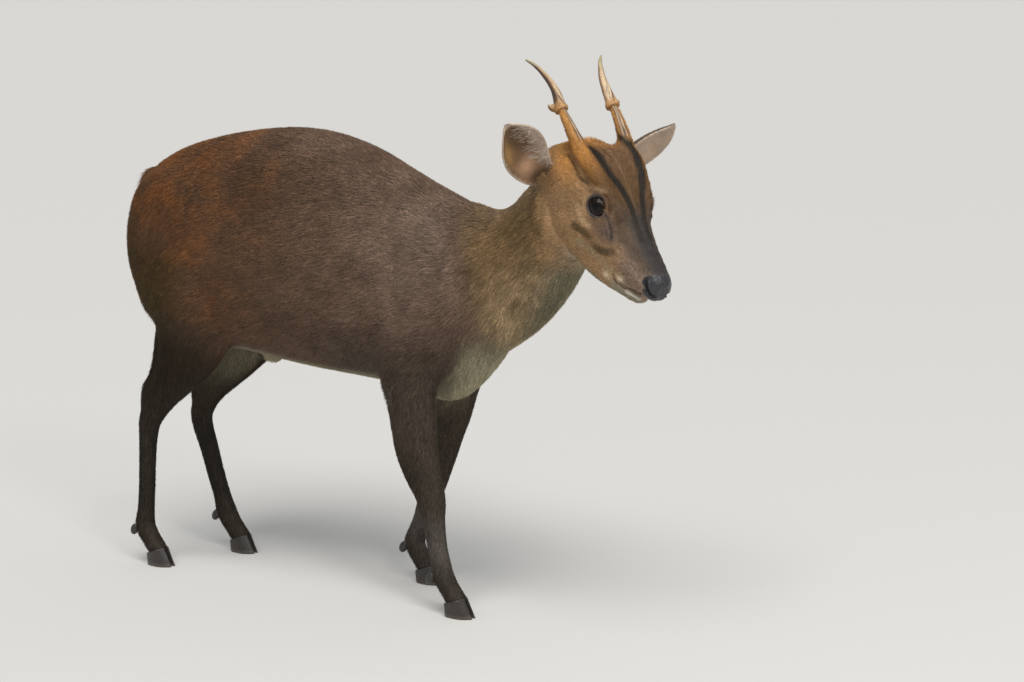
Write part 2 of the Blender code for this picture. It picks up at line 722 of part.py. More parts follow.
def dome(name, leg, sign, swell, group):
    """A bullet shape round one leg, rounded inside the trunk and wider below it."""
    middle, half, shoulder, top = LEG_DOME[leg]
    centre_y = (DOME_INNER + DOME_OUTER) / 2
    half_y = (DOME_OUTER - DOME_INNER) / 2
    levels = [(-0.05, 1.0, DOME_SKIRT_SWELL), (DOME_SKIRT - 0.012, 1.0, DOME_SKIRT_SWELL),
              (DOME_SKIRT, 1.0, 0.0)]
    steps = 6
    for i in range(steps + 1):
        angle = math.pi / 2 * i / steps
        levels.append((shoulder + (top - shoulder + swell) * math.sin(angle),
                       max(math.cos(angle), 0.03), 0.0))
    rings = []
    for height, share, skirt in levels:
        half_x = half * share + swell + skirt
        rings.append(oval(Vector((middle, centre_y * sign, height)), Vector((0, 1, 0)),
                          Vector((1, 0, 0)), half_y * share + swell, half_x, half_x,
                          sides=26, power=2.6))
    return loft(name, rings, group)


def head_cut(offset):
    """The plane behind the jaw and the ears, moved forward by the offset."""
    nape = HEAD @ Vector((-0.030, 0, 0.030))
    throat = HEAD @ Vector((0.052, 0, -0.085))
    across = HEAD.to_3x3() @ Vector((0, 1, 0))
    normal = across.cross(throat - nape).normalized()
    if normal.x < 0:
        normal = -normal
    return facing((nape + throat) / 2 + normal * offset, normal)


def neck_cut(offset):
    """The plane from the withers to the front of the chest, moved forward by the offset."""
    withers = Vector((0.178, 0, 0.500))
    chest = Vector((0.238, 0, 0.290))
    normal = Vector((0, 1, 0)).cross(chest - withers).normalized()
    if normal.x < 0:
        normal = -normal
    return facing((withers + chest) / 2 + normal * offset, normal)


def coronet(name):
    """Where one leg's hair ends and its hooves start: a point and the way down through it."""
    rows, sign = LEGS[name]
    upper = Vector(sided(rows, sign)[-2][:3])
    lower = Vector(sided(rows, sign)[-1][:3])
    down = (lower - upper).normalized()
    point = upper + down * ((upper.z - HOOF_TOP) / -down.z)
    return point, (down + Vector((0, 0, -1))).normalized()


def part_flesh(body, parts, cutters):
    """Splits the skin into its named pieces, each a gap away from the next."""
    half = GAP / 2
    pieces = {}
    ahead = slab("head_block", head_cut(half), (0.5, 0.5, 0.5), cutters)
    behind = slab("head_rest", head_cut(-half), (0.5, 0.5, 0.5), cutters)
    pieces["head"] = copy_of(body, "head", parts)
    boolean(pieces["head"], ahead, "INTERSECT")
    rest = copy_of(body, "rest", cutters)
    boolean(rest, behind, "DIFFERENCE")
    ahead = slab("neck_block", neck_cut(half), (0.6, 0.6, 0.5), cutters)
    behind = slab("neck_rest", neck_cut(-half), (0.6, 0.6, 0.5), cutters)
    pieces["neck"] = copy_of(rest, "neck", parts)
    boolean(pieces["neck"], ahead, "INTERSECT")
    pieces["torso"] = copy_of(rest, "torso", parts)
    boolean(pieces["torso"], behind, "DIFFERENCE")
    trunk = copy_of(pieces["torso"], "trunk_whole", cutters)
    for name, (rows, sign) in LEGS.items():
        leg = name.split("_")[0]
        inner = dome("dome_" + name, leg, sign, 0.0, cutters)
        outer = dome("dome_out_" + name, leg, sign, GAP, cutters)
        piece = copy_of(trunk, "leg_" + name, parts)
        boolean(piece, inner, "INTERSECT")
        point, down = coronet(name)
        boolean(piece, slab("foot_" + name, facing(point, down), CUT_BLOCK, cutters), "DIFFERENCE")
        pieces["leg_" + name] = piece
        boolean(pieces["torso"], outer, "DIFFERENCE")
    for piece in pieces.values():
        keep_largest(piece)
    return pieces


def hoof(name, leg, inner, group):
    """One claw: flat underneath, sloped in front and flat-sided towards its twin."""
    point, _ = coronet(leg)
    sign = LEGS[leg][1]
    out = -sign if inner else sign
    rings = []
    for height in (0.0, 0.010, 0.020, 0.034):
        toe = point.x + HOOF_TOE - HOOF_SLOPE * height
        heel = point.x - HOOF_HEEL - 0.10 * height
        ring = []
        for k in range(14):
            angle = math.tau * k / 14
            c, s = math.cos(angle), math.sin(angle)
            taper = 1 - 0.80 * max(c, 0) ** 2.6 - 0.12 * max(-c, 0) ** 2
            bulge = abs(s) ** (0.75 if s > 0 else 0.40)
            away = HOOF_HALF_WIDTH * (1 + math.copysign(bulge * taper, s))
            away -= HOOF_HALF_WIDTH * 0.55 * max(c, 0) ** 3
            ring.append(Vector((heel + (toe - heel) * (0.5 + 0.5 * c),
                                point.y + out * (CLEFT / 2 + max(away, 0)), height)))
        rings.append(ring)
    return loft(name, rings, group)


def ear(sign, group):
    """A leaf-shaped cup, thick as gristle and skin, rolled into a tube at its root."""
    side = "left" if sign > 0 else "right"
    axis = mirrored(EAR_AXIS[sign], sign)
    face = mirrored(EAR_FACING[sign], sign)
    face = (face - axis * face.dot(axis)).normalized()
    across = axis.cross(face)
    along_steps, across_steps = 12, 10
    bm = bmesh.new()
    grid = []
    for i in range(along_steps + 1):
        t = i / along_steps
        half = EAR_HALF_WIDTH * max(math.sin(math.pi * (0.05 + 0.95 * t) ** 1.1), 0.0) ** 0.62
        half = max(half, 0.0012)
        roll = math.radians(100 - 45 * min(t / 0.35, 1.0) - 8 * t)
        bend = half / math.sin(min(roll, math.pi / 2))
        row = []
        for j in range(across_steps + 1):
            angle = (2 * j / across_steps - 1) * roll
            sideways = bend * math.sin(angle)
            deep = bend * (math.cos(angle) - 1) + EAR_DEPTH * math.sin(math.pi * min(t, 0.9)) ** 0.8
            centre = mirrored(EAR_ROOT, sign) + axis * (EAR_LENGTH[sign] * t)
            row.append(bm.verts.new(HEAD @ (centre + across * sideways - face * deep)))
        grid.append(row)
    for low, high in zip(grid, grid[1:]):
        for j in range(across_steps):
            bm.faces.new((low[j], low[j + 1], high[j + 1], high[j]))
    mesh = bpy.data.meshes.new("ear_" + side)
    bm.to_mesh(mesh)
    bm.free()
    made = new_object("ear_" + side, mesh, group)
    shell = made.modifiers.new("thickness", "SOLIDIFY")
    shell.thickness = EAR_THICKNESS
    shell.offset = 0.0
    apply_modifiers(made)
    return made


def dewclaws(name, group):
    """Two small claws behind the fetlock."""
    rows, sign = LEGS[name]
    joint = Vector(sided(rows, sign)[-3][:3])
    made = []
    for label, out in (("inner", -sign), ("outer", sign)):
        centre = joint + Vector((-0.0125, 0.0072 * out, -0.006))
        made.append(ball("dewclaw_%s_%s" % (name, label), centre, (0.0056, 0.0040, 0.0080), group,
                         segments=8, rings=6, turn=(0, math.radians(30), 0)))
    return made


def finish(thing, look):
    thing.data.materials.clear()
    thing.data.materials.append(look)


def build():
    for thing in list(bpy.data.objects):
        bpy.data.objects.remove(thing)
    parts = bpy.data.collections.new("muntjac")
    cutters = bpy.data.collections.new("cutters")
    for group in (parts, cutters):
        bpy.context.scene.collection.children.link(group)

    fur = material("brown_fur", (0.20, 0.11, 0.06), 0.9)
    dark_fur = material("dark_fur", (0.07, 0.05, 0.04), 0.9)
    horn = material("antler", (0.45, 0.30, 0.18), 0.55)
    hoof_horn = material("hoof_horn", (0.05, 0.04, 0.035), 0.45)
    eye_look = material("wet_eye", (0.01, 0.008, 0.008), 0.05)

    body = melt(cutters, VOXEL)
    thin_out(body, FLESH_TRIANGLES)
    skin = swollen(body, GAP, "swollen_skin", cutters)
    pieces = part_flesh(body, parts, cutters)

    cut_face(pieces["head"], cutters)
    for sign in (-1, 1):
        side = "left" if sign > 0 else "right"
        eye = ball("eye_" + side, HEAD @ mirrored(EYE, sign), (EYE_RADIUS,) * 3, parts,
                   segments=18, rings=10)
        finish(eye, eye_look)

        burr = HEAD @ mirrored(BEAM[0][:3], sign)
        rise = (HEAD @ mirrored(BEAM[1][:3], sign) - HEAD @ mirrored(PEDICLE[2][:3], sign)).normalized()
        above = slab("burr_cut_" + side, facing(burr - rise * GAP, rise), (0.05, 0.05, 0.05), cutters)
        boolean(pieces["head"], above, "DIFFERENCE")
        below = slab("beam_cut_" + side, facing(burr, -rise), (0.05, 0.05, 0.05), cutters)
        beam = bent_tube("antler_" + side, sided(BEAM, sign), parts, sides=12, per_span=2, place=HEAD)
        tine = bent_tube("tine_" + side, sided(TINE, sign), parts, sides=8, per_span=1, place=HEAD)
        boolean(beam, below, "DIFFERENCE")
        keep_largest(beam)
        triangulate(tine)
        boolean(tine, swollen(beam, GAP, "fat_beam_" + side, cutters), "DIFFERENCE")
        boolean(tine, below, "DIFFERENCE")
        keep_largest(tine)
        finish(beam, horn)
        finish(tine, horn)

        shell = ear(sign, parts)
        boolean(shell, skin, "DIFFERENCE")
        keep_largest(shell)
        finish(shell, fur)
    keep_largest(pieces["head"])

    tail = bent_tube("tail", TAIL, parts, sides=16, per_span=2)
    boolean(tail, skin, "DIFFERENCE")
    keep_largest(tail)
    finish(tail, fur)

    for name, (rows, sign) in LEGS.items():
        point, down = coronet(name)
        for inner in (True, False):
            label = "hoof_%s_%s" % (name, "inner" if inner else "outer")
            claw = hoof(label, name, inner, parts)
            above = slab("claw_cut_" + label, facing(point + down * GAP, -down), CUT_BLOCK, cutters)
            boolean(claw, above, "DIFFERENCE")
            keep_largest(claw)
            finish(claw, hoof_horn)
        for claw in dewclaws(name, parts):
            boolean(claw, skin, "DIFFERENCE")
            keep_largest(claw)
            finish(claw, hoof_horn)

    for name, piece in pieces.items():
        finish(piece, dark_fur if name.startswith("leg") else fur)

    for thing in cutters.objects:
        thing.hide_render = True
        thing.display_type = "WIRE"
    low = np.min([points_of(thing).min(0) for thing in parts.objects], 0)
    high = np.max([points_of(thing).max(0) for thing in parts.objects], 0)
    base = bpy.data.objects.new("muntjac_stand_point", None)
    parts.objects.link(base)
    base.location = (-(low[0] + high[0]) / 2, -(low[1] + high[1]) / 2, 0)
    for thing in parts.objects:
        if thing is not base:
            thing.parent = base


build()
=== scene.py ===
"""The looks of a life-size muntjac buck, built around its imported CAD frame.

One skin with the fur's markings replaces the nodes of flesh. It is made from the same sections as
the solids, lies inside them by the coat's depth and carries the lids, nostrils and folds. Solid
tufts grow from it along the lie of the coat. Ears, eyes, antlers, hooves and dewclaws are finer
than the solids' and replace them one by one. Sizes are in metres, in the animal's own frame:
+X is forward, +Y its left and +Z up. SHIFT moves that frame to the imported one.
"""

import itertools
import math

import bmesh
import bpy
import numpy as np
from mathutils import Euler, Matrix, Vector


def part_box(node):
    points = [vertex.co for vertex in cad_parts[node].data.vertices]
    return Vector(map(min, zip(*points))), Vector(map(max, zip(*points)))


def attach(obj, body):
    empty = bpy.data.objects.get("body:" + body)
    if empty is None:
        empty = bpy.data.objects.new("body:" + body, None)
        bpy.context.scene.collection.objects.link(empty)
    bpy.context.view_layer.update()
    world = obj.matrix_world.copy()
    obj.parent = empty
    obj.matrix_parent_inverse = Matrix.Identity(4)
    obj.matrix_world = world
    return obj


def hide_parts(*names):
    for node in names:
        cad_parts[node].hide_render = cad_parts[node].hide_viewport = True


SEED = 11
BAKE_MAP = "OFBake"
PATCH = 0.003               # how wide a tuft's patch is on the map of its piece
SIDE = {-1: "right", 1: "left"}

# The photo's view: its way round, distance and height, the lens and where the camera looks
CAMERA_AZIMUTH = math.radians(37)
CAMERA_AWAY = 2.75
CAMERA_HEIGHT = 0.72
SENSOR_WIDTH = 36
FOCAL_PIXELS = 2255
LOOK_AT_PIXEL = (342.4, -0.2)
PHOTO_SIZE = (1024, 682)
FLOOR_SIZE = 12000.0

# The head's own frame: its x runs from the nape to the nose, z out of the forehead
HEAD_ORIGIN = Vector((0.335, -0.015, 0.540))
HEAD_YAW = math.radians(-24)
HEAD_PITCH = math.radians(32)
HEAD_ROLL = math.radians(2)
HEAD = Matrix.Translation(HEAD_ORIGIN) @ (
    Matrix.Rotation(HEAD_YAW, 4, "Z")
    @ Matrix.Rotation(HEAD_PITCH, 4, "Y")
    @ Matrix.Rotation(HEAD_ROLL, 4, "X"))
HEAD_TURN = np.array(HEAD.to_3x3())

# Trunk sections: x, top, bottom, half width
TRUNK = [
    (-0.318, 0.458, 0.395, 0.026),
    (-0.306, 0.494, 0.350, 0.054),
    (-0.280, 0.518, 0.312, 0.074),
    (-0.240, 0.539, 0.292, 0.086),
    (-0.190, 0.553, 0.283, 0.093),
    (-0.140, 0.562, 0.281, 0.099),
    (-0.080, 0.568, 0.274, 0.103),
    (-0.020, 0.565, 0.268, 0.104),
    (0.040, 0.549, 0.264, 0.100),
    (0.090, 0.527, 0.259, 0.090),
    (0.130, 0.510, 0.249, 0.079),
    (0.170, 0.494, 0.246, 0.071),
    (0.205, 0.480, 0.272, 0.062),
    (0.235, 0.462, 0.310, 0.048),
    (0.252, 0.440, 0.350, 0.028),
]
# Neck sections: x, y, z of the middle, half width, half height up, half height down
NECK = [
    (0.130, 0.000, 0.385, 0.060, 0.100, 0.100),
    (0.166, 0.000, 0.392, 0.064, 0.104, 0.106),
    (0.207, 0.000, 0.402, 0.058, 0.090, 0.101),
    (0.245, -0.001, 0.413, 0.053, 0.074, 0.0865),
    (0.277, -0.004, 0.430, 0.050, 0.066, 0.0705),
    (0.303, -0.008, 0.453, 0.048, 0.060, 0.059),
    (0.326, -0.013, 0.478, 0.045, 0.058, 0.053),
    (0.345, -0.020, 0.498, 0.036, 0.046, 0.044),
]
# Skull and cheeks, in the head's frame: x, top, bottom, half width, height of the widest line
SKULL = [
    (-0.030, 0.006, -0.052, 0.026, -0.016),
    (-0.014, 0.021, -0.068, 0.0355, -0.014),
    (0.010, 0.037, -0.077, 0.0415, -0.008),
    (0.035, 0.0485, -0.079, 0.0440, 0.000),
    (0.060, 0.0545, -0.080, 0.0435, 0.006),
    (0.085, 0.049, -0.0785, 0.0390, 0.008),
    (0.105, 0.040, -0.075, 0.0345, 0.004),
    (0.125, 0.030, -0.067, 0.0296, -0.004),
    (0.142, 0.019, -0.050, 0.0240, -0.012),
]
MUZZLE = [
    (0.070, 0.043, -0.040, 0.0300, -0.004),
    (0.105, 0.038, -0.040, 0.0310, -0.006),
    (0.125, 0.0285, -0.040, 0.0288, -0.012),
    (0.145, 0.0190, -0.039, 0.0250, -0.018),
    (0.165, 0.0105, -0.0385, 0.0216, -0.021),
    (0.184, 0.0040, -0.0390, 0.0190, -0.022),
    (0.1985, -0.0010, -0.0390, 0.0173, -0.022),
    (0.2095, -0.0055, -0.0380, 0.0149, -0.021),
    (0.2157, -0.0110, -0.0335, 0.0095, -0.022),
]
JAW = [
    (0.075, -0.030, -0.0795, 0.0300, -0.050),
    (0.110, -0.032, -0.0785, 0.0265, -0.050),
    (0.135, -0.034, -0.0738, 0.0215, -0.050),
    (0.157, -0.0375, -0.0675, 0.0175, -0.050),
    (0.174, -0.0395, -0.0625, 0.0145, -0.050),
    (0.186, -0.0405, -0.0590, 0.0115, -0.0490),
    (0.193, -0.0430, -0.0545, 0.0070, -0.0490),
]

# Legs: x, y, z of the middle, half width, half depth; y is for the animal's left
HIND_TOP = [
    (-0.212, 0.046, 0.470, 0.030, 0.066),
    (-0.206, 0.050, 0.430, 0.040, 0.084),
    (-0.198, 0.054, 0.385, 0.046, 0.090),
]
HIND_RIGHT = HIND_TOP + [
    (-0.188, 0.060, 0.335, 0.042, 0.076),
    (-0.191, 0.062, 0.302, 0.035, 0.058),
    (-0.205, 0.063, 0.272, 0.0275, 0.043),
    (-0.223, 0.063, 0.247, 0.0210, 0.0315),
    (-0.240, 0.063, 0.226, 0.0170, 0.0240),
    (-0.255, 0.062, 0.207, 0.0150, 0.0200),
    (-0.2655, 0.061, 0.188, 0.0138, 0.0165),
    (-0.2695, 0.060, 0.168, 0.0122, 0.0135),
    (-0.2715, 0.060, 0.145, 0.0108, 0.0124),
    (-0.2745, 0.059, 0.105, 0.0105, 0.0120),
    (-0.2780, 0.058, 0.073, 0.0108, 0.0121),
    (-0.2800, 0.058, 0.050, 0.0125, 0.0145),
    (-0.2700, 0.058, 0.033, 0.0125, 0.0125),
    (-0.2500, 0.058, 0.008, 0.0125, 0.0130),
]
HIND_LEFT = HIND_TOP + [
    (-0.192, 0.058, 0.335, 0.042, 0.076),
    (-0.203, 0.059, 0.299, 0.035, 0.058),
    (-0.222, 0.059, 0.267, 0.0275, 0.043),
    (-0.242, 0.058, 0.240, 0.0210, 0.0315),
    (-0.259, 0.057, 0.219, 0.0170, 0.0240),
    (-0.272, 0.057, 0.200, 0.0150, 0.0200),
    (-0.2790, 0.056, 0.180, 0.0138, 0.0170),
    (-0.2765, 0.056, 0.160, 0.0125, 0.0150),
    (-0.2680, 0.056, 0.136, 0.0108, 0.0140),
    (-0.2560, 0.055, 0.101, 0.0105, 0.0130),
    (-0.2460, 0.055, 0.073, 0.0108, 0.0128),
    (-0.2390, 0.055, 0.052, 0.0125, 0.0148),
    (-0.2270, 0.055, 0.034, 0.0125, 0.0130),
    (-0.2050, 0.055, 0.008, 0.0125, 0.0135),
]
# The tendon and heel bone behind each hock
HEEL_RIGHT = [
    (-0.236, 0.061, 0.310, 0.016, 0.018),
    (-0.250, 0.062, 0.276, 0.0095, 0.0100),
    (-0.261, 0.062, 0.250, 0.0070, 0.0075),
    (-0.2695, 0.062, 0.232, 0.0085, 0.0085),
    (-0.2690, 0.061, 0.214, 0.0100, 0.0110),
    (-0.2680, 0.061, 0.196, 0.0110, 0.0110),
]
HEEL_LEFT = [
    (-0.250, 0.058, 0.300, 0.016, 0.018),
    (-0.266, 0.058, 0.268, 0.0095, 0.0100),
    (-0.278, 0.058, 0.242, 0.0070, 0.0075),
    (-0.2870, 0.057, 0.224, 0.0085, 0.0085),
    (-0.2860, 0.057, 0.206, 0.0100, 0.0110),
    (-0.2820, 0.056, 0.188, 0.0110, 0.0110),
]
FRONT_TOP = [
    (0.128, 0.046, 0.455, 0.022, 0.040),
    (0.150, 0.052, 0.405, 0.028, 0.050),
    (0.160, 0.055, 0.350, 0.030, 0.054),
    (0.142, 0.057, 0.310, 0.030, 0.050),
]
FRONT_RIGHT = FRONT_TOP + [
    (0.140, 0.059, 0.278, 0.028, 0.042),
    (0.143, 0.060, 0.250, 0.0255, 0.0345),
    (0.146, 0.060, 0.225, 0.0225, 0.0320),
    (0.150, 0.060, 0.197, 0.0195, 0.0300),
    (0.158, 0.060, 0.170, 0.0168, 0.0255),
    (0.167, 0.059, 0.146, 0.0150, 0.0205),
    (0.170, 0.058, 0.131, 0.0145, 0.0185),
    (0.172, 0.057, 0.112, 0.0120, 0.0152),
    (0.176, 0.056, 0.082, 0.0108, 0.0134),
    (0.181, 0.056, 0.060, 0.0115, 0.0135),
    (0.1835, 0.056, 0.049, 0.0125, 0.0142),
    (0.1930, 0.056, 0.033, 0.0125, 0.0125),
    (0.2120, 0.056, 0.008, 0.0125, 0.0130),
]
FRONT_LEFT = FRONT_TOP + [
    (0.130, 0.058, 0.278, 0.028, 0.042),
    (0.124, 0.058, 0.250, 0.0255, 0.0345),
    (0.118, 0.058, 0.223, 0.0225, 0.0310),
    (0.110, 0.057, 0.195, 0.0195, 0.0275),
    (0.104, 0.057, 0.168, 0.0168, 0.0235),
    (0.099, 0.056, 0.145, 0.0150, 0.0195),
    (0.094, 0.056, 0.128, 0.0145, 0.0175),
    (0.087, 0.055, 0.109, 0.0120, 0.0145),
    (0.077, 0.055, 0.080, 0.0108, 0.0128),
    (0.0690, 0.055, 0.061, 0.0115, 0.0135),
    (0.0655, 0.055, 0.049, 0.0125, 0.0142),
    (0.0740, 0.055, 0.033, 0.0125, 0.0125),
    (0.0925, 0.055, 0.008, 0.0125, 0.0130),
]
LEGS = {
    "front_right": (FRONT_RIGHT, -1),
    "front_left": (FRONT_LEFT, 1),
    "hind_right": (HIND_RIGHT, -1),
    "hind_left": (HIND_LEFT, 1),
}

# Features, in the head's frame, for the animal's left
PEDICLE = [
    (0.060, 0.0275, 0.0400, 0.0125),
    (0.0400, 0.0312, 0.0520, 0.0102),
    (0.0165, 0.0338, 0.0625, 0.0085),
    (-0.0050, 0.0346, 0.0700, 0.0080),
    (-0.0160, 0.0350, 0.0735, 0.0076),
]
BROW_RIDGE = [
    (0.045, 0.0300, 0.0440, 0.0125),
    (0.070, 0.0295, 0.0440, 0.0112),
    (0.095, 0.0255, 0.0360, 0.0098),
    (0.118, 0.0200, 0.0255, 0.0080),
    (0.136, 0.0160, 0.0170, 0.0060),
]
BEAM = [
    (-0.0030, 0.0345, 0.0690, 0.0078),
    (-0.0070, 0.0347, 0.0705, 0.0084),
    (-0.0110, 0.0344, 0.0728, 0.0066),
    (-0.0221, 0.0338, 0.0786, 0.0052),
    (-0.0371, 0.0353, 0.0839, 0.0040),
    (-0.0503, 0.0393, 0.0879, 0.0030),
    (-0.0617, 0.0442, 0.0904, 0.0022),
    (-0.0714, 0.0508, 0.0917, 0.0010),
]
TINE = [
    (-0.0072, 0.0348, 0.0693, 0.0056),
    (-0.0090, 0.0398, 0.0682, 0.0048),
    (-0.0108, 0.0440, 0.0686, 0.0036),
    (-0.0125, 0.0474, 0.0701, 0.0012),
]
EYE = Vector((0.1010, 0.0258, 0.0140))
EYE_RADIUS = 0.0135
EYE_AXIS = Vector((0.34, 0.90, 0.27)).normalized()
EYE_ALONG = Vector((0.78, -0.16, -0.60))
LID_HALF_WIDTH = 0.0108
LID_HALF_HEIGHT = 0.0121
LID_THICKNESS = 0.0013
LID_FOOT = 0.5              # the lid dome's lowest height, as a share of its radius
LID_RIM = 0.0007            # radius of the moist edge of the lids
SOCKET_GAP = 0.0002
IRIS_RADIUS = 0.0092
PUPIL_HALF = (0.0058, 0.0036)
CORNEA_RISE = 0.0006
EAR_ROOT = Vector((0.0076, 0.0465, -0.012))
EAR_AXIS = {-1: Vector((-0.083, 0.648, 0.757)).normalized(),
            1: Vector((0.010, 0.800, 0.600)).normalized()}
EAR_FACING = {-1: Vector((0.65, 0.00, 0.20)), 1: Vector((0.92, 0.33, -0.03))}
EAR_LENGTH = {-1: 0.0885, 1: 0.0955}
EAR_HALF_WIDTH = 0.0275
EAR_LEAST_HALF = 0.0012
# The far ear's pale part covers its whole cup: partly its own colour, partly painted light over its
# shaded lower part
EAR_PALE_FROM = {-1: 0.35, 1: -1.40}        # where the cup's pale front half starts
EAR_THICKNESS = 0.0018
EAR_DEPTH = 0.006
# Lines pressed into the face: x, y, z, depth, half width
NOSTRIL = [
    (0.1995, 0.0162, -0.0135, 0.0010, 0.0010),
    (0.2013, 0.0160, -0.0168, 0.0036, 0.0016),
    (0.2057, 0.0147, -0.0235, 0.0050, 0.0020),
    (0.2105, 0.0120, -0.0262, 0.0044, 0.0018),
    (0.2140, 0.0085, -0.0258, 0.0012, 0.0010),
]
GLAND = [
    (0.1200, 0.0302, 0.0145, 0.0006, 0.0008),
    (0.1245, 0.0285, 0.0095, 0.0018, 0.0010),
    (0.1285, 0.0265, 0.0045, 0.0024, 0.0012),
    (0.1325, 0.0258, -0.0005, 0.0020, 0.0011),
    (0.1358, 0.0254, -0.0045, 0.0008, 0.0009),
]
MOUTH = [
    (0.1500, 0.0185, -0.0455, 0.0012, 0.0010),
    (0.1580, 0.0178, -0.0465, 0.0026, 0.0011),
    (0.1657, 0.0150, -0.0470, 0.0024, 0.0010),
    (0.1821, 0.0115, -0.0440, 0.0022, 0.0009),
    (0.1960, 0.0095, -0.0415, 0.0022, 0.0008),
    (0.2050, 0.0060, -0.0395, 0.0022, 0.0008),
    (0.2070, 0.0000, -0.0385, 0.0022, 0.0008),
]
PHILTRUM = [
    (0.2157, 0.0, -0.0260, 0.0002, 0.0008),
    (0.2130, 0.0, -0.0320, 0.0006, 0.0008),
    (0.2090, 0.0, -0.0365, 0.0008, 0.0008),
]

# Rounded muscles and bones, for the animal's left: centre, radii and turn about y
MUSCLES = [
    ((-0.215, 0.050, 0.455), (0.080, 0.040, 0.066), 0),
    ((-0.090, 0.060, 0.380), (0.090, 0.042, 0.085), 0),
    ((0.142, 0.046, 0.415), (0.044, 0.030, 0.070), math.radians(-16)),
    ((0.152, 0.052, 0.325), (0.058, 0.032, 0.046), math.radians(30)),
]
# Cheek, brow bone and ear base, in the head's frame
HEAD_LUMPS = [
    ((0.062, 0.0200, -0.030), (0.044, 0.0235, 0.036)),
    ((0.099, 0.0245, 0.0185), (0.025, 0.0160, 0.0195)),
    ((-0.001, 0.0345, -0.009), (0.018, 0.016, 0.017)),
]
# Tail, behind the rump: x, y, z, half width, half depth
TAIL = [
    (-0.288, 0.0, 0.492, 0.016, 0.014),
    (-0.308, 0.0, 0.475, 0.017, 0.012),
    (-0.319, 0.0, 0.447, 0.019, 0.010),
    (-0.323, 0.0, 0.410, 0.022, 0.009),
    (-0.318, 0.0, 0.372, 0.021, 0.008),
    (-0.308, 0.0, 0.338, 0.014, 0.007),
    (-0.300, 0.0, 0.318, 0.006, 0.004),
]
# Hooves: lengths are from the point where the leg's middle line meets the hair line
HOOF_TOP = 0.020
HOOF_TOE = 0.025
HOOF_HEEL = 0.011
HOOF_SLOPE = 0.50           # how far the toe recedes for each unit of height
HOOF_HALF_WIDTH = 0.0061
HOOF_CUT = 0.034            # how high a hoof is before its top is cut off along the hair
DEWCLAW_RADII = (0.0056, 0.0040, 0.0080)
CLEFT = 0.0014
BODY_CUTS = (-0.20, -0.08, 0.04, 0.15)      # where one piece of the body's fur ends and the next starts

# The skin's grid. It is halved on the head, again round the eyes and the nose, and once more there
VOXEL = 0.0033
SOLID_VOXEL = 0.0032        # the grid of the solids, whose melting the skin repeats
SOLID_ROUNDS = 24
RING_SIDES = 40
THIN = 1.0   # the share of the tufts that grows
LEAST_TUFTS = 30                # a piece of fewer tufts is left out

# Colours, as linear light
BROWN = (0.118, 0.066, 0.038)
THROAT = (0.200, 0.185, 0.120)
GREY = (0.155, 0.100, 0.070)
RUST = (0.175, 0.068, 0.022)
DARK_RUST = (0.070, 0.036, 0.015)
OLIVE = (0.066, 0.039, 0.012)
SOOTY_FUR_AND_SHADE = (0.016, 0.012, 0.007)
LEG = (0.034, 0.025, 0.016)
FORELEG = (0.070, 0.050, 0.036)
SHOULDER = (0.205, 0.140, 0.104)
CANNON = (0.092, 0.078, 0.070)
TAN = (0.235, 0.147, 0.063)
NECK_LOW = (0.430, 0.305, 0.170)
NAPE = (0.220, 0.145, 0.082)
CREAM = (0.470, 0.420, 0.275)
WHITE = (0.520, 0.480, 0.390)
TEMPLE = (0.640, 0.310, 0.090)
ORANGE = (0.450, 0.205, 0.052)
BROW_LOW = (0.120, 0.064, 0.026)
CHEEK = (0.430, 0.255, 0.124)
CHEEK_LIGHT = (0.400, 0.290, 0.165)
DARK_CHEEK = (0.080, 0.048, 0.018)
JAW_UNDER = (0.260, 0.240, 0.170)
FOREHEAD = (0.185, 0.098, 0.047)
STRIPE = (0.022, 0.016, 0.010)
BRIDGE_SIDE = (0.070, 0.047, 0.031)
MUZZLE_TOP = (0.034, 0.030, 0.029)
MUZZLE_SIDE = (0.290, 0.205, 0.150)
UNDER_EYE = (0.150, 0.105, 0.082)
OCHRE = (0.700, 0.450, 0.260)
LIP_PALE = (0.800, 0.640, 0.440)
LIP_WHITE = (0.600, 0.580, 0.500)
NOSE = (0.028, 0.026, 0.030)
NOSTRIL_SHADE = (0.004, 0.003, 0.003)
SKIN_PINK = (0.220, 0.140, 0.120)
LID_SKIN = (0.115, 0.080, 0.068)
GLAND_SKIN = (0.110, 0.070, 0.062)
PEDICLE_FUR = (0.500, 0.245, 0.075)
EAR_INSIDE = (0.150, 0.082, 0.040)
EAR_OCHRE = (0.460, 0.270, 0.100)
EAR_PINK = (0.640, 0.400, 0.240)
EAR_PALE = (0.620, 0.480, 0.370)
EAR_BACK = (0.120, 0.080, 0.055)
EAR_HAIR = (0.700, 0.600, 0.520)
HORN = (0.300, 0.160, 0.070)
HORN_RIDGE = (0.620, 0.460, 0.290)
HORN_GROOVE = (0.040, 0.022, 0.016)
HORN_TIP = (0.400, 0.350, 0.200)
HOOF_HORN = (0.030, 0.025, 0.022)
HOOF_EDGE = (0.100, 0.080, 0.060)
EYE_WHITE = (0.020, 0.014, 0.011)
IRIS = (0.008, 0.005, 0.003)
PUPIL = (0.002, 0.002, 0.003)
LID_RIM_HIGHLIGHT = (0.300, 0.240, 0.240)
LID_RIM_TONE = (0.035, 0.026, 0.024)
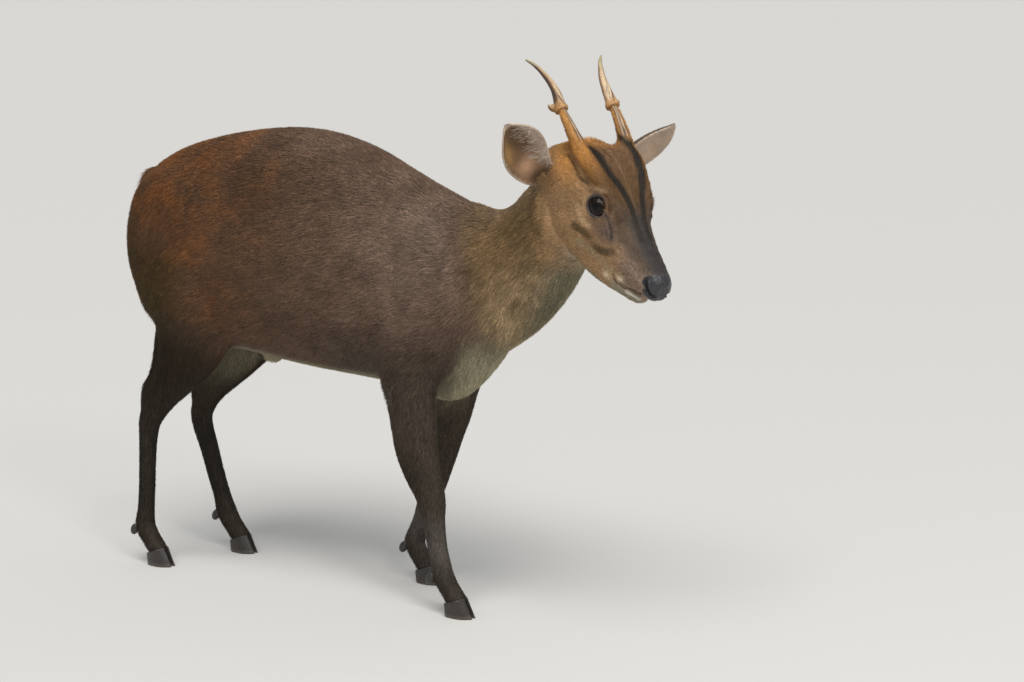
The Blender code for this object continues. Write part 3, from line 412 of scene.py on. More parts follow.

# Lines of the face's markings and of its painted shade, in the head's frame; all but the stripes are
# for its left
FACE_LINES = {
    "right stripe": [(0.036, -0.0150, 0.0490), (0.0506, -0.0161, 0.0499), (0.0735, -0.0163, 0.0486),
                     (0.0929, -0.0129, 0.0424), (0.1099, -0.0065, 0.0356), (0.1273, -0.0042, 0.0269),
                     (0.1478, -0.0045, 0.0164), (0.1620, -0.0060, 0.0094)],
    "left stripe": [(0.040, 0.0270, 0.0560), (0.0575, 0.0290, 0.0542), (0.0753, 0.0270, 0.0515),
                    (0.0981, 0.0215, 0.0422), (0.1180, 0.0135, 0.0313), (0.1313, 0.0095, 0.0242),
                    (0.1478, 0.0070, 0.0170), (0.1600, 0.0055, 0.0100)],
    "bridge": [(0.145, 0.000, 0.0185), (0.164, 0.000, 0.0100), (0.186, 0.000, 0.0020),
               (0.206, 0.000, -0.0050)],
    "brow": [(0.040, 0.0340, 0.0540), (0.0674, 0.0345, 0.0505), (0.0854, 0.0325, 0.0456),
             (0.1062, 0.0280, 0.0374), (0.1200, 0.0240, 0.0290)],
    "fold": [(0.0305, 0.0330, 0.0323), (0.0539, 0.0374, 0.0347), (0.0693, 0.0369, 0.0283),
             (0.0820, 0.0346, 0.0306)],
    "crease": [(-0.0069, 0.0333, -0.0315), (0.0113, 0.0412, -0.0420), (0.0244, 0.0455, -0.0544),
               (0.0418, 0.0431, -0.0659)],
    "under eye": [(0.0828, 0.0374, 0.0002), (0.0874, 0.0363, -0.0057), (0.0939, 0.0347, -0.0104),
                  (0.1038, 0.0327, -0.0107)],
    "dark cheek": [(0.0869, 0.0364, -0.0225), (0.0961, 0.0334, -0.0225), (0.1074, 0.0312, -0.0212)],
    "cheek shade": [(0.0869, 0.0364, -0.0225), (0.1074, 0.0312, -0.0225), (0.1217, 0.0275, -0.0270),
                    (0.1341, 0.0248, -0.0246)],
    "dark jowl": [(0.1217, 0.0275, -0.0287), (0.1341, 0.0248, -0.0246), (0.1450, 0.0243, -0.0165)],
    "light cheek": [(0.0956, 0.0319, -0.0379), (0.1066, 0.0285, -0.0382), (0.1219, 0.0256, -0.0381),
                    (0.1334, 0.0215, -0.0394), (0.1447, 0.0172, -0.0438)],
    "white lip": [(0.1740, 0.0125, -0.0495), (0.1840, 0.0105, -0.0485), (0.1930, 0.0060, -0.0480)],
}
LINE_REACH = 0.025          # points further from a line than this count as far away
AHEAD_OF_NECK = 0.33        # the face and its eyes lie wholly ahead of these x
AHEAD_OF_BROW = 0.36
FRONT_OF_PEDICLE = np.array(Vector((0.50, -0.35, 0.75)).normalized())
FRONT_OF_BEAM = np.array((0.33, -0.45, 0.80))
FRONT_OF_BEAM /= np.linalg.norm(FRONT_OF_BEAM)
PEDICLE_AXIS = np.subtract(PEDICLE[-1][:3], PEDICLE[1][:3])
PEDICLE_AXIS /= np.linalg.norm(PEDICLE_AXIS)

# Each tuft's points: how far along it, to its side and off its back, in its length and width
LOCK_POINTS = np.array([(0.00, -0.36, 0.0), (0.00, 0.36, 0.0), (0.02, 0.0, 0.42),
                        (0.48, -0.50, 0.0), (0.48, 0.50, 0.0), (0.48, 0.0, 0.40), (1.0, 0.0, 0.0)])
LOCK_FACES = np.array([(0, 1, 4), (0, 4, 3), (1, 2, 5), (1, 5, 4), (2, 0, 3), (2, 3, 5),
                       (3, 4, 6), (4, 5, 6), (5, 3, 6), (0, 2, 1)])
HAIR_POINTS = np.array([(0.00, -0.50, 0.0), (0.00, 0.50, 0.0), (0.0, 0.0, 0.50), (1.0, 0.0, 0.0)])
HAIR_FACES = np.array([(0, 1, 3), (1, 2, 3), (2, 0, 3), (0, 2, 1)])
LOCK = (LOCK_POINTS, LOCK_FACES)
HAIR = (HAIR_POINTS, HAIR_FACES)


def material(name, roughness, specular):
    """A Principled material with its constant sockets set on the shader itself."""
    made = bpy.data.materials.new(name)
    made.use_nodes = True
    shader = made.node_tree.nodes["Principled BSDF"]
    shader.inputs["Roughness"].default_value = roughness
    shader.inputs["Specular IOR Level"].default_value = specular
    return made


def new_object(name, data):
    """A mesh, light or camera as an object of the scene."""
    made = bpy.data.objects.new(name, data)
    bpy.context.scene.collection.objects.link(made)
    return made


def solid(name, bm, smooth=True):
    """An object from a bmesh, which is freed."""
    for face in bm.faces:
        face.smooth = smooth
    mesh = bpy.data.meshes.new(name)
    bm.to_mesh(mesh)
    bm.free()
    return new_object(name, mesh)


def fast_mesh(name, points, faces):
    """A smooth mesh from arrays: points, and faces that all have the same number of corners."""
    mesh = bpy.data.meshes.new(name)
    mesh.vertices.add(len(points))
    mesh.vertices.foreach_set("co", np.ascontiguousarray(points, np.float32).ravel())
    count, corners = faces.shape
    mesh.loops.add(count * corners)
    mesh.loops.foreach_set("vertex_index", np.ascontiguousarray(faces, np.int32).ravel())
    mesh.polygons.add(count)
    mesh.polygons.foreach_set("loop_start", np.arange(count, dtype=np.int32) * corners)
    mesh.polygons.foreach_set("use_smooth", np.ones(count, bool))
    mesh.update(calc_edges=True)
    return mesh


def grid_faces(rows, columns, closed):
    """Quads between rows of points. A closed grid joins its last row and column to the first."""
    open_ends = 0 if closed else 1
    return np.array([(i * columns + j, i * columns + (j + 1) % columns,
                      (i + 1) % rows * columns + (j + 1) % columns, (i + 1) % rows * columns + j)
                     for i in range(rows - open_ends) for j in range(columns - open_ends)])


def even_rows(rows, per_span):
    """Catmull-Rom points through the rows, with per_span steps from each row to the next."""
    rows = np.array(rows, float)
    padded = np.vstack([2 * rows[0] - rows[1], rows, 2 * rows[-1] - rows[-2]])
    out = []
    for i in range(len(rows) - 1):
        a, b, c, d = padded[i:i + 4]
        for t in np.arange(per_span) / per_span:
            out.append(0.5 * (2 * b + (c - a) * t + (2 * a - 5 * b + 4 * c - d) * t ** 2
                              + (3 * b - a - 3 * c + d) * t ** 3))
    out.append(rows[-1])
    return out


def loft(name, rings):
    """A closed body through rings of points, each end closed by a fan on its middle."""
    bm = bmesh.new()
    loops = [[bm.verts.new(point) for point in ring] for ring in rings]
    count = len(loops[0])
    for low, high in zip(loops, loops[1:]):
        for i in range(count):
            j = (i + 1) % count
            bm.faces.new((low[i], low[j], high[j], high[i]))
    for loop in (loops[0], loops[-1]):
        hub = bm.verts.new(sum((v.co for v in loop), Vector()) / count)
        for i in range(count):
            bm.faces.new((loop[i], loop[(i + 1) % count], hub))
    bmesh.ops.recalc_face_normals(bm, faces=bm.faces)
    return solid(name, bm)


def oval(centre, side, up, half_side, half_up, half_down, sides=RING_SIDES, power=2.0):
    """Points of a rounded section, with its own height above and below the widest line."""
    points = []
    for i in range(sides):
        angle = math.tau * i / sides
        c, s = math.cos(angle), math.sin(angle)
        x = math.copysign(abs(c) ** (2 / power), c) * half_side
        y = math.copysign(abs(s) ** (2 / power), s) * (half_up if s > 0 else half_down)
        points.append(centre + side * x + up * y)
    return points


def upright_tube(name, rows, place=Matrix.Identity(4), power=2.15):
    """A tube along x from rows of x, top, bottom, half width and, if given, the widest height."""
    rings = []
    turn = place.to_3x3()
    for row in even_rows(rows, 3):
        x, top, bottom, half = row[:4]
        wide = row[4] if len(row) > 4 else bottom + 0.44 * (top - bottom)
        rings.append(oval(place @ Vector((x, 0, wide)), turn @ Vector((0, 1, 0)),
                          turn @ Vector((0, 0, 1)), half, top - wide, wide - bottom, power=power))
    return loft(name, rings)


def bent_tube(name, rows, sides=RING_SIDES, per_span=3, place=Matrix.Identity(4)):
    """A tube along x, y, z with a radius, or half width and half depth, or up and down too."""
    side = Vector((0, 1, 0))
    rows = even_rows(rows, per_span)
    centres = [place @ Vector(row[:3]) for row in rows]
    rings = []
    for i, (row, centre) in enumerate(zip(rows, centres)):
        along = (centres[min(i + 1, len(rows) - 1)] - centres[max(i - 1, 0)]).normalized()
        up = along.cross(side).normalized()
        across = up.cross(along).normalized()
        sizes = list(row[3:]) + [row[-1]] * (6 - len(row))
        rings.append(oval(centre, across, up, *sizes, sides=sides))
    return loft(name, rings)


def ball(name, centre, radii, place=Matrix.Identity(4), segments=32, rings=20, turn=0):
    """An ellipsoid, turned about its own y."""
    bm = bmesh.new()
    bmesh.ops.create_uvsphere(bm, u_segments=segments, v_segments=rings, radius=1.0)
    shape = place @ Matrix.Translation(centre) @ Euler((0, turn, 0)).to_matrix().to_4x4()
    bmesh.ops.transform(bm, matrix=shape @ Matrix.Diagonal((*radii, 1.0)), verts=bm.verts)
    return solid(name, bm)


def mirrored(point, sign):
    """A point of the animal's left, on the side that sign says."""
    return Vector((point[0], point[1] * sign, point[2]))


def sided(rows, sign):
    """Rows for the animal's left, on the side that sign says."""
    return [(row[0], row[1] * sign, *row[2:]) for row in rows]


def flesh_pieces():
    """Every lofted tube and rounded muscle that melts into the skin."""
    pieces = [
        upright_tube("trunk", TRUNK),
        bent_tube("neck_core", NECK),
        upright_tube("skull", SKULL, HEAD, power=2.3),
        upright_tube("muzzle", MUZZLE, HEAD, power=2.4),
        upright_tube("jaw", JAW, HEAD, power=2.3),
        ball("sheath", (-0.112, 0, 0.276), (0.022, 0.010, 0.011)),
        ball("tail_head", (-0.288, 0, 0.492), (0.030, 0.026, 0.022)),
        bent_tube("tail", TAIL, sides=24),
    ]
    for name, (rows, sign) in LEGS.items():
        pieces.append(bent_tube("leg_core_" + name, sided(rows, sign)))
    for rows, sign in ((HEEL_RIGHT, -1), (HEEL_LEFT, 1)):
        pieces.append(bent_tube("heel", sided(rows, sign), sides=16))
    for sign in (-1, 1):
        for centre, radii, turn in MUSCLES:
            pieces.append(ball("muscle", mirrored(centre, sign), radii, turn=turn))
        for centre, radii in HEAD_LUMPS:
            pieces.append(ball("lump", mirrored(centre, sign), radii, HEAD))
        for rows in (PEDICLE, BROW_RIDGE):
            pieces.append(bent_tube("ridge", sided(rows, sign), sides=24, place=HEAD))
    return pieces


def apply_modifiers(thing):
    """Makes the modified mesh the object's own."""
    graph = bpy.context.evaluated_depsgraph_get()
    mesh = bpy.data.meshes.new_from_object(thing.evaluated_get(graph))
    thing.modifiers.clear()
    thing.data = mesh


def join(pieces, name):
    """One object of all the pieces, which are removed."""
    bm = bmesh.new()
    for piece in pieces:
        bm.from_mesh(piece.data)
        bpy.data.objects.remove(piece)
    return solid(name, bm)


def boolean(thing, cutter):
    """Cuts the cutter away and removes it."""
    cut = thing.modifiers.new("cut", "BOOLEAN")
    cut.operation = "DIFFERENCE"
    cut.solver = "MANIFOLD"
    cut.object = cutter
    apply_modifiers(thing)
    bpy.data.objects.remove(cutter)


def points_of(thing):
    """Its points as rows of an array."""
    flat = np.empty(len(thing.data.vertices) * 3)
    thing.data.vertices.foreach_get("co", flat)
    return flat.reshape(-1, 3)


def normals_of(thing):
    """Its points' normals as rows of an array."""
    flat = np.empty(len(thing.data.vertices) * 3)
    thing.data.vertex_normals.foreach_get("vector", flat)
    return flat.reshape(-1, 3)


def set_points(thing, points):
    """Moves its points to the rows of an array."""
    thing.data.vertices.foreach_set("co", points.ravel())
    thing.data.update()


def triangles_of(thing):
    """Its triangles as rows of point numbers, in the same order whichever way the booleans ran."""
    thing.data.calc_loop_triangles()
    flat = np.empty(len(thing.data.loop_triangles) * 3, np.int32)
    thing.data.loop_triangles.foreach_get("vertices", flat)
    rows = flat.reshape(-1, 3)
    turns = (rows.argmin(1)[:, None] + np.arange(3)) % 3
    rows = np.take_along_axis(rows, turns, 1)
    return rows[np.lexsort(rows.T[::-1])]


def ramp(value, low, high):
    """0 below low, 1 above high and smooth between."""
    t = np.clip((value - low) / (high - low), 0.0, 1.0)
    return t * t * (3 - 2 * t)


def fall(value, low, high):
    """1 below low, 0 above high and smooth between."""
    return 1 - ramp(value, low, high)


def unit(vectors):
    """Rows of vectors, each brought to length 1."""
    return vectors / np.maximum(np.linalg.norm(vectors, axis=1), 1e-12)[:, None]


def noise(points, size, seed):
    """Smooth seeded noise from -1 to 1, with lumps about size across."""
    side = 32
    table = np.random.default_rng(seed).uniform(-1, 1, (side, side, side))
    place = points / size + 100.5
    cell = np.floor(place).astype(int)
    part = place - cell
    part = part * part * (3 - 2 * part)
    total = np.zeros(len(points))
    for corner in itertools.product((0, 1), repeat=3):
        index = (cell + corner) % side
        weight = np.prod(np.where(corner, part, 1 - part), axis=1)
        total += weight * table[index[:, 0], index[:, 1], index[:, 2]]
    return total


def relax(thing, strength, rounds):
    """Each point moves towards its neighbours' middle by its own strength, rounds times."""
    count = len(thing.data.vertices)
    pairs = np.empty(len(thing.data.edges) * 2, int)
    thing.data.edges.foreach_get("vertices", pairs)
    a, b = pairs.reshape(-1, 2).T
    ends = np.concatenate([a, b])
    others = np.concatenate([b, a])
    degree = np.bincount(ends, minlength=count)[:, None]
    points = points_of(thing)
    for _ in range(rounds):
        total = np.stack([np.bincount(ends, points[others, k], count) for k in range(3)], 1)
        points += strength[:, None] * (total / degree - points)
    set_points(thing, points)


def head_frame(points):
    """World points in the head's frame."""
    back = np.array(HEAD.inverted())
    return points @ back[:3, :3].T + back[:3, 3]


def world_frame(points):
    """Points of the head's frame in the world."""
    return points @ HEAD_TURN.T + np.array(HEAD_ORIGIN)


def folded(points):
    """Points with the right half laid over the left."""
    return np.column_stack([points[:, 0], np.abs(points[:, 1]), points[:, 2]])


def blend_strength(points):
    """How much each part of the flesh melts: most at the joins, least on legs and antler bases."""
    local = head_frame(points)
    leg = ramp(points[:, 2], 0.20, 0.30)
    head = 1 - ramp(local[:, 0], -0.03, 0.03) * ramp(local[:, 2], -0.12, -0.09)
    return 0.5 * np.minimum(0.10 + 0.90 * leg, 0.16 + 0.84 * head)


def head_share(points, low=-0.015, high=0.030, from_x=0.32):
    """1 on the head, 0 behind the jaw and ears. The step from low to high runs along the head."""
    local = head_frame(points)
    ahead = ramp(local[:, 0] + 0.35 * local[:, 2], low, high)
    return ahead * ramp(local[:, 2], -0.105, -0.085) * (points[:, 0] > from_x)


def coat_depth(points):
    """How far the skin lies inside the solids' surface."""
    local = head_frame(points)
    head = head_share(points)
    body = 0.0012 + 0.0032 * ramp(points[:, 2], 0.14, 0.30)
    face = 0.0018 - 0.0010 * ramp(local[:, 0], 0.09, 0.15)
    tail = ramp(-points[:, 0], 0.296, 0.312)
    return body * (1 - head) * (1 - 0.45 * tail) + face * head


def refine(thing, chosen):
    """Quarters the faces whose middle the chosen test accepts."""
    bm = bmesh.new()
    bm.from_mesh(thing.data)
    middles = np.array([f.calc_center_median()[:] for f in bm.faces])
    keep = chosen(middles)
    edges = {edge for face, take in zip(bm.faces, keep) if take for edge in face.edges}
    bmesh.ops.subdivide_edges(bm, edges=list(edges), cuts=1, use_grid_fill=True)
    bm.to_mesh(thing.data)
    bm.free()


def on_head(points):
    """The head ahead of its nape."""
    local = head_frame(points)
    return (local[:, 0] > 0.00) & (points[:, 0] > AHEAD_OF_NECK) & (local[:, 2] > -0.10)


def on_feature(points):
    """Round the eyes, the glands, the nose and the mouth."""
    local = folded(head_frame(points))
    eye = np.linalg.norm(local - np.array(EYE), axis=1) < 0.026
    nose = (local[:, 0] > 0.150) & (local[:, 2] > -0.06)
    return (eye | nose) & (points[:, 0] > AHEAD_OF_BROW)


def on_fine_feature(points):
    """The rims of the lids, the nostrils and the lips."""
    local = folded(head_frame(points))
    offset = local - np.array(EYE)
    out = offset @ np.array(EYE_AXIS)
    across = np.linalg.norm(offset - out[:, None] * np.array(EYE_AXIS), axis=1)
    eye = (across < 0.0165) & (out > 0)
    nose = (local[:, 0] > 0.193) & (local[:, 2] > -0.045)
    return (eye | nose) & (points[:, 0] > AHEAD_OF_BROW)


def cover_eyes(thing):
    """A lid dome over each eyeball, which the opening is cut from later."""
    local = head_frame(points_of(thing))
    facing_out = normals_of(thing) @ HEAD_TURN
    for sign in (-1, 1):
        axis = np.array(mirrored(EYE_AXIS, sign))
        offset = local - np.array(mirrored(EYE, sign))
        out = offset @ axis
        across = np.linalg.norm(offset - out[:, None] * axis, axis=1)
        dome_radius = EYE_RADIUS + LID_THICKNESS
        wanted = np.sqrt(np.maximum(dome_radius ** 2 - across ** 2, (LID_FOOT * dome_radius) ** 2))
        cover = fall(across, LID_HALF_WIDTH, LID_HALF_WIDTH * 1.5)
        cover *= ramp(facing_out @ axis, 0.0, 0.35) * (out > -0.004)
        local += (cover * (wanted - out))[:, None] * axis
    set_points(thing, world_frame(local))


def eye_frame(sign):
    """The eye's own axes: along the opening, across it and straight out, in the world."""
    out = mirrored(EYE_AXIS, sign)
    along = mirrored(EYE_ALONG, sign)
    along = (along - out * along.dot(out)).normalized()
    turn = HEAD.to_3x3()
    return turn @ along, turn @ out.cross(along), turn @ out


def almond(angle, spread=1.0):
    """The outline of the opened lids, along and across the eye."""
    c, s = math.cos(angle), math.sin(angle)
    return (LID_HALF_WIDTH * spread * c * (1 + 0.15 * max(c, 0) ** 6),
            LID_HALF_HEIGHT * spread * s * (1 - 0.10 * c * c))


def open_lids(thing):
    """Cuts the socket and the opening of the lids for both eyes."""
    for sign in (-1, 1):
        along, across, out = eye_frame(sign)
        centre = HEAD @ mirrored(EYE, sign)
        rings = []
        for reach, spread in ((0.10, 1.0), (0.80, 1.0), (1.02, 1.02), (1.12, 1.12), (1.9, 1.6)):
            ring = []
            for k in range(72):
                u, v = almond(math.tau * k / 72, spread)
                ring.append(centre + out * (reach * EYE_RADIUS) + along * u + across * v)
            rings.append(ring)
        boolean(thing, ball("socket", centre, (EYE_RADIUS + SOCKET_GAP,) * 3, segments=64, rings=40))
        boolean(thing, loft("lid_opening", rings))


def along_line(points, rows):
    """The row of a line that lies nearest to each point, and how far away it is."""
    rows = np.asarray(rows, float)
    low, high = rows[:, :3].min(0) - LINE_REACH, rows[:, :3].max(0) + LINE_REACH
    close = np.where(np.all((points > low) & (points < high), axis=1))[0]
    own = points[close]
    best = np.full(len(close), 1.0)
    nearest = np.tile(rows[0], (len(close), 1))
    for a, b in zip(rows, rows[1:]):
        span = b - a
        t = np.clip((own - a[:3]) @ span[:3] / max(span[:3] @ span[:3], 1e-12), 0, 1)
        row = a + t[:, None] * span
        away = np.linalg.norm(own - row[:, :3], axis=1)
        closer = away < best
        best[closer] = away[closer]
        nearest[closer] = row[closer]
    all_rows = np.tile(rows[0], (len(points), 1))
    all_rows[close] = nearest
    distance = np.full(len(points), 1.0)
    distance[close] = best
    return all_rows, distance


def laid(rows, local):
    """A line's rows, closely spaced and moved onto the nearest of the skin's points."""
    rows = np.array(even_rows(rows, 3))
    nearest = [np.argmin(np.linalg.norm(local - row[:3], axis=1)) for row in rows]
    return np.column_stack([local[nearest], rows[:, 3:]])


def eye_sides(local):
    """For the head's folded points: how far along, across and out of the eye they are.

    The last of the four is their ring round the eye, which is 1 on the edge of the lids."""
    offset = local - np.array(EYE)
    axis = np.array(EYE_AXIS)
    along = np.array((EYE_ALONG - EYE_AXIS * EYE_ALONG.dot(EYE_AXIS)).normalized())
    u, v = offset @ along, offset @ np.cross(axis, along)
    return u, v, offset @ axis, np.hypot(u / LID_HALF_WIDTH, v / LID_HALF_HEIGHT)


def nose_pad(local):
    """1 on the bare, moist skin round the nostrils, for folded points of the head."""
    side = np.maximum(local[:, 1], 0.006)
    lower = 0.0046 * ramp(-local[:, 2], 0.016, 0.023)
    front = ramp(local[:, 0] + 0.9 * side - lower, 0.2085, 0.2120)
    return front * ramp(local[:, 2], -0.0365, -0.0335)


def shape_face(thing):
    """Presses nostrils, lips, glands and folds into the fine skin of the face."""
    points = points_of(thing)
    every = head_frame(points)
    chosen = np.where((every[:, 0] > 0.07) & (points[:, 0] > AHEAD_OF_BROW))[0]
    local = folded(every[chosen])
    normals = normals_of(thing)[chosen]
    rise = np.zeros(len(chosen))
    for rows, lip in ((NOSTRIL, 0.0006), (GLAND, 0.0006), (MOUTH, 0.0005), (PHILTRUM, 0.0001)):
        nearest, away = along_line(local, laid(rows, local))
        depth, half = nearest[:, 3], nearest[:, 4]
        rise -= depth * np.exp(-(away / (1.15 * half)) ** 2 * 0.8)
        rise += lip * np.exp(-((away - 2.6 * half) / (1.2 * half)) ** 2) * np.clip(depth / 0.002, 0, 1)
    # The pad's pebbles, then the folds of the upper and lower lid and the swell round the opening
    rise += (0.0003 + 0.00025 * noise(local, 0.0013, 6)) * nose_pad(local)
    _, v, out, ring = eye_sides(local)
    front = ramp(out, 0.0, 0.004)
    upper = ramp(-v, 0.0, 0.004)
    for height, where, width, share in ((-0.0010, 1.50, 0.09, upper), (0.0009, 1.85, 0.20, upper),
                                        (-0.0006, 1.55, 0.09, 1 - upper), (0.0005, 1.22, 0.10, 1)):
        rise += height * np.exp(-((ring - where) / width) ** 2) * share * front
    rise += 0.0003 * noise(local, 0.004, 5) * ramp(local[:, 0], 0.10, 0.14)
    points[chosen] += normals * rise[:, None]
    set_points(thing, points)


def coronet(name):
    """Where one leg's hair ends and its hooves start: a point and the way down through it."""
    rows, sign = LEGS[name]
    upper = Vector(sided(rows, sign)[-2][:3])
    lower = Vector(sided(rows, sign)[-1][:3])
    down = (lower - upper).normalized()
    point = upper + down * ((upper.z - HOOF_TOP) / -down.z)
    return point, (down + Vector((0, 0, -1))).normalized()


def slab(place, size):
    """A box whose lowest face lies on the place's own xy plane, reaching up its z."""
    bm = bmesh.new()
    bmesh.ops.create_cube(bm, size=1.0)
    shape = place @ Matrix.Translation((0, 0, size[2] / 2)) @ Matrix.Diagonal((*size, 1.0))
    bmesh.ops.transform(bm, matrix=shape, verts=bm.verts)
    return solid("slab", bm, smooth=False)


def facing(point, direction):
    """A frame at the point whose z runs along the direction."""
    return Matrix.Translation(point) @ direction.to_track_quat("Z", "Y").to_matrix().to_4x4()


def build_skin():
    """The whole flesh as one smooth skin, inside the solids by the coat's depth."""
    body = join(flesh_pieces(), "skin")
    remesh = body.modifiers.new("melt", "REMESH")
    remesh.mode = "VOXEL"
    remesh.voxel_size = VOXEL
    apply_modifiers(body)
    rounds = round(SOLID_ROUNDS * (SOLID_VOXEL / VOXEL) ** 2)
    relax(body, blend_strength(points_of(body)), rounds)
    refine(body, on_head)
    relax(body, 0.4 * on_head(points_of(body)), 3)
    points = points_of(body)
    set_points(body, points - normals_of(body) * coat_depth(points)[:, None])
    refine(body, on_feature)
    relax(body, 0.4 * on_feature(points_of(body)), 2)
    refine(body, on_fine_feature)
    relax(body, 0.4 * on_fine_feature(points_of(body)), 2)
    cover_eyes(body)
    shape_face(body)
    open_lids(body)
    for name in LEGS:
        point, down = coronet(name)
        boolean(body, slab(facing(point, down), (0.07, 0.07, 0.06)))
    for polygon in body.data.polygons:
        polygon.use_smooth = True
    return body


def lay_lines(points):
    """Every line of the face, laid on the finished skin. The stripes differ from side to side."""
    every = head_frame(points)
    on_face = every[every[:, 0] > -0.02]
    left = folded(on_face)
    lines = {name: laid(rows, on_face if "stripe" in name else left)
             for name, rows in FACE_LINES.items()}
    for name, rows in (("nostril", NOSTRIL), ("gland", GLAND), ("mouth", MOUTH)):
        lines[name] = laid([row[:3] for row in rows], left)
    return lines


def blend(own, other, weight):
    """Moves colours or directions towards another one, by its weight at each point."""
    share = np.clip(weight, 0, 1)[:, None]
    return own * (1 - share) + np.array(other) * share


def blended(first, layers):
    """The first colour or direction with each layer's laid over it, by the layer's weight."""
    out = np.array(first)
    for other, weight in layers:
        out = blend(out, other, weight)
    return out


def spot(points, centre, radii):
    """1 in the middle of a soft spot, 0 outside. A radius of None leaves that direction out."""
    total = np.zeros(len(points))
    for k, radius in enumerate(radii):
        if radius:
            total += ((points[:, k] - centre[k]) / radius) ** 2
    return np.exp(-total)


def band(points, line, half_width):
    """1 along a line, falling off softly at its half width."""
    _, away = along_line(points, line)
    return 1 - ramp(away, 0.5 * half_width, 1.5 * half_width)


def body_colours(points):
    """The coat behind the head."""
    sides = folded(points)
    x, y, z = sides.T
    blotch = noise(points, 0.030, 21)
    fleck = noise(points, 0.011, 22)
    speck = noise(points, 0.0035, 23)
    rump = ramp(0.04 * blotch - x, -0.02, 0.20) * ramp(z, 0.36, 0.50)
    neck = ramp(x + 0.25 * (z - 0.40), 0.205, 0.250)
    low = fall(z - 0.5 * (x - 0.25), 0.360, 0.435)
    under = ramp(x - 0.62 * (z - 0.32), 0.242, 0.280) * fall(z, 0.410, 0.455)
    chest = ramp(x, 0.17, 0.215) * fall(z, 0.27, 0.36)
    belly = fall(z, 0.268, 0.285) * fall(y, 0.018, 0.042)
    inner = fall(y, 0.040, 0.056) * ramp(z, 0.16, 0.24)
    leg = fall(z, 0.20, 0.27)
    hind = ramp(-x, 0.0, 0.05)
    fore = 1 - hind
    tail = ramp(-x, 0.300, 0.312) * fall(y, 0.024, 0.032) * ramp(z, 0.31, 0.33)
    white = fall(-x, 0.300, 0.312) * ramp(-x, 0.285, 0.295)
    white *= fall(y, 0.022, 0.034) * fall(z, 0.44, 0.47) * ramp(z, 0.30, 0.32)
    back = ramp(z, 0.515, 0.555) * ramp(x, -0.18, 0.02)
    patches = [spot(sides, centre, (0.045, None, 0.030))
               for centre in ((-0.172, 0, 0.416), (-0.129, 0, 0.357), (-0.200, 0, 0.47))]
    out = blended(BROWN, [
        (GREY, 0.85 * ramp(x, -0.10, 0.10) * (0.8 + 0.3 * blotch)),
        (RUST, rump * (0.62 + 0.55 * blotch + 0.35 * fleck)),
        *[(RUST, 0.8 * patch * (0.7 + 0.6 * fleck)) for patch in patches],
        (GREY, (0.65 + 0.3 * blotch) * back),
        (OLIVE, ramp(-x, 0.14, 0.22) * fall(z, 0.37, 0.45)),
        (OLIVE, 0.6 * ramp(-x, 0.24, 0.30) * fall(z, 0.47, 0.52)),
        (SOOTY_FUR_AND_SHADE, 0.80 * ramp(-x, 0.12, 0.17) * fall(z, 0.285, 0.360)),
        (DARK_RUST, 0.55 * spot(sides, (-0.063, 0, 0.494), (0.035, None, 0.03))),
        # Painted shade along the lower edge of the belly
        (SOOTY_FUR_AND_SHADE, 0.92 * spot(sides, (0.010, 0, 0.262), (0.15, None, 0.024))),
        # Shoulder and foreleg
        (SHOULDER, 0.9 * spot(sides, (0.155, 0, 0.43), (0.055, None, 0.080))),
        (FORELEG, ramp(x, 0.00, 0.06) * fall(z, 0.275, 0.365)),
        # Neck and chest
        (TAN, 0.85 * neck),
        (NECK_LOW, 0.8 * neck * low * (0.9 + 0.3 * fleck)),
        (NAPE, neck * ramp(z - 0.55 * (x - 0.25), 0.455, 0.485)),
        # The throat's pale coat, darkened partly as painted shade on the neck's underside
        (THROAT, 0.9 * under),
        (CREAM, 0.8 * chest * fall(y, 0.035, 0.060)),
        # Belly, groin and the insides of the legs
        (CREAM, 0.75 * belly * ramp(z, 0.20, 0.26) * (np.abs(x) < 0.2)),
        (CREAM, 0.35 * inner * fall(z, 0.30, 0.34)),
        # Legs below the elbow and the hock
        (LEG, leg * hind * (0.9 + 0.1 * fleck)),
        (SOOTY_FUR_AND_SHADE, 0.6 * hind * fall(z, 0.14, 0.22)),
        (FORELEG, leg * fore * 0.9 * (y > 0.03)),
        (CANNON, 0.8 * fall(z, 0.10, 0.14) * fore),
        (LEG, 0.85 * fall(z, 0.045, 0.075)),
        (LEG, 0.75 * fore * spot(sides, (0.150, 0, 0.165), (0.09, None, 0.045))),
        # Tail: rusty above, white below and at its edges
        (RUST, 0.8 * tail),
        (WHITE, white),
        (WHITE, tail * ramp(y, 0.014, 0.019)),
    ])
    return out * (1 + 0.16 * blotch + 0.15 * fleck + 0.22 * speck)[:, None]


def pedicle_front(local):
    """The bare horn that runs down the front of each pedicle, for folded points.

    Returns 1 on it and 0 elsewhere, and how far round the pedicle each point swings from its front."""
    nearest, away = along_line(local, even_rows(PEDICLE, 3))
    offset = unit(local - nearest[:, :3])
    share = ramp(offset @ FRONT_OF_PEDICLE, 0.72, 0.84) * (away < 0.016)
    swing = offset @ np.cross(PEDICLE_AXIS, FRONT_OF_PEDICLE)
    return share * ramp(local[:, 2] - 0.3 * local[:, 0], 0.044, 0.050), swing


def crown_share(local):
    """1 on the longer tuft of hair between the pedicles."""
    return spot(local, (0.016, 0, 0.038), (0.016, 0.024, 0.012))


def pedicle_horn(local):
    """The colour of the bare horn, with pale ridges and dark grooves, and where it shows."""
    front, swing = pedicle_front(local)
    swing = swing + 0.16 * noise(local * (0.2, 1.0, 0.3), 0.0030, 64)
    groove = 0.95 * np.exp(-(swing / 0.14) ** 2) + 0.9 * ramp(np.abs(swing), 0.34, 0.44)
    ridge = np.exp(-((np.abs(swing) - 0.26) / 0.10) ** 2)
    return blended(HORN, [(HORN_RIDGE, ridge), (HORN_GROOVE, groove)]), front


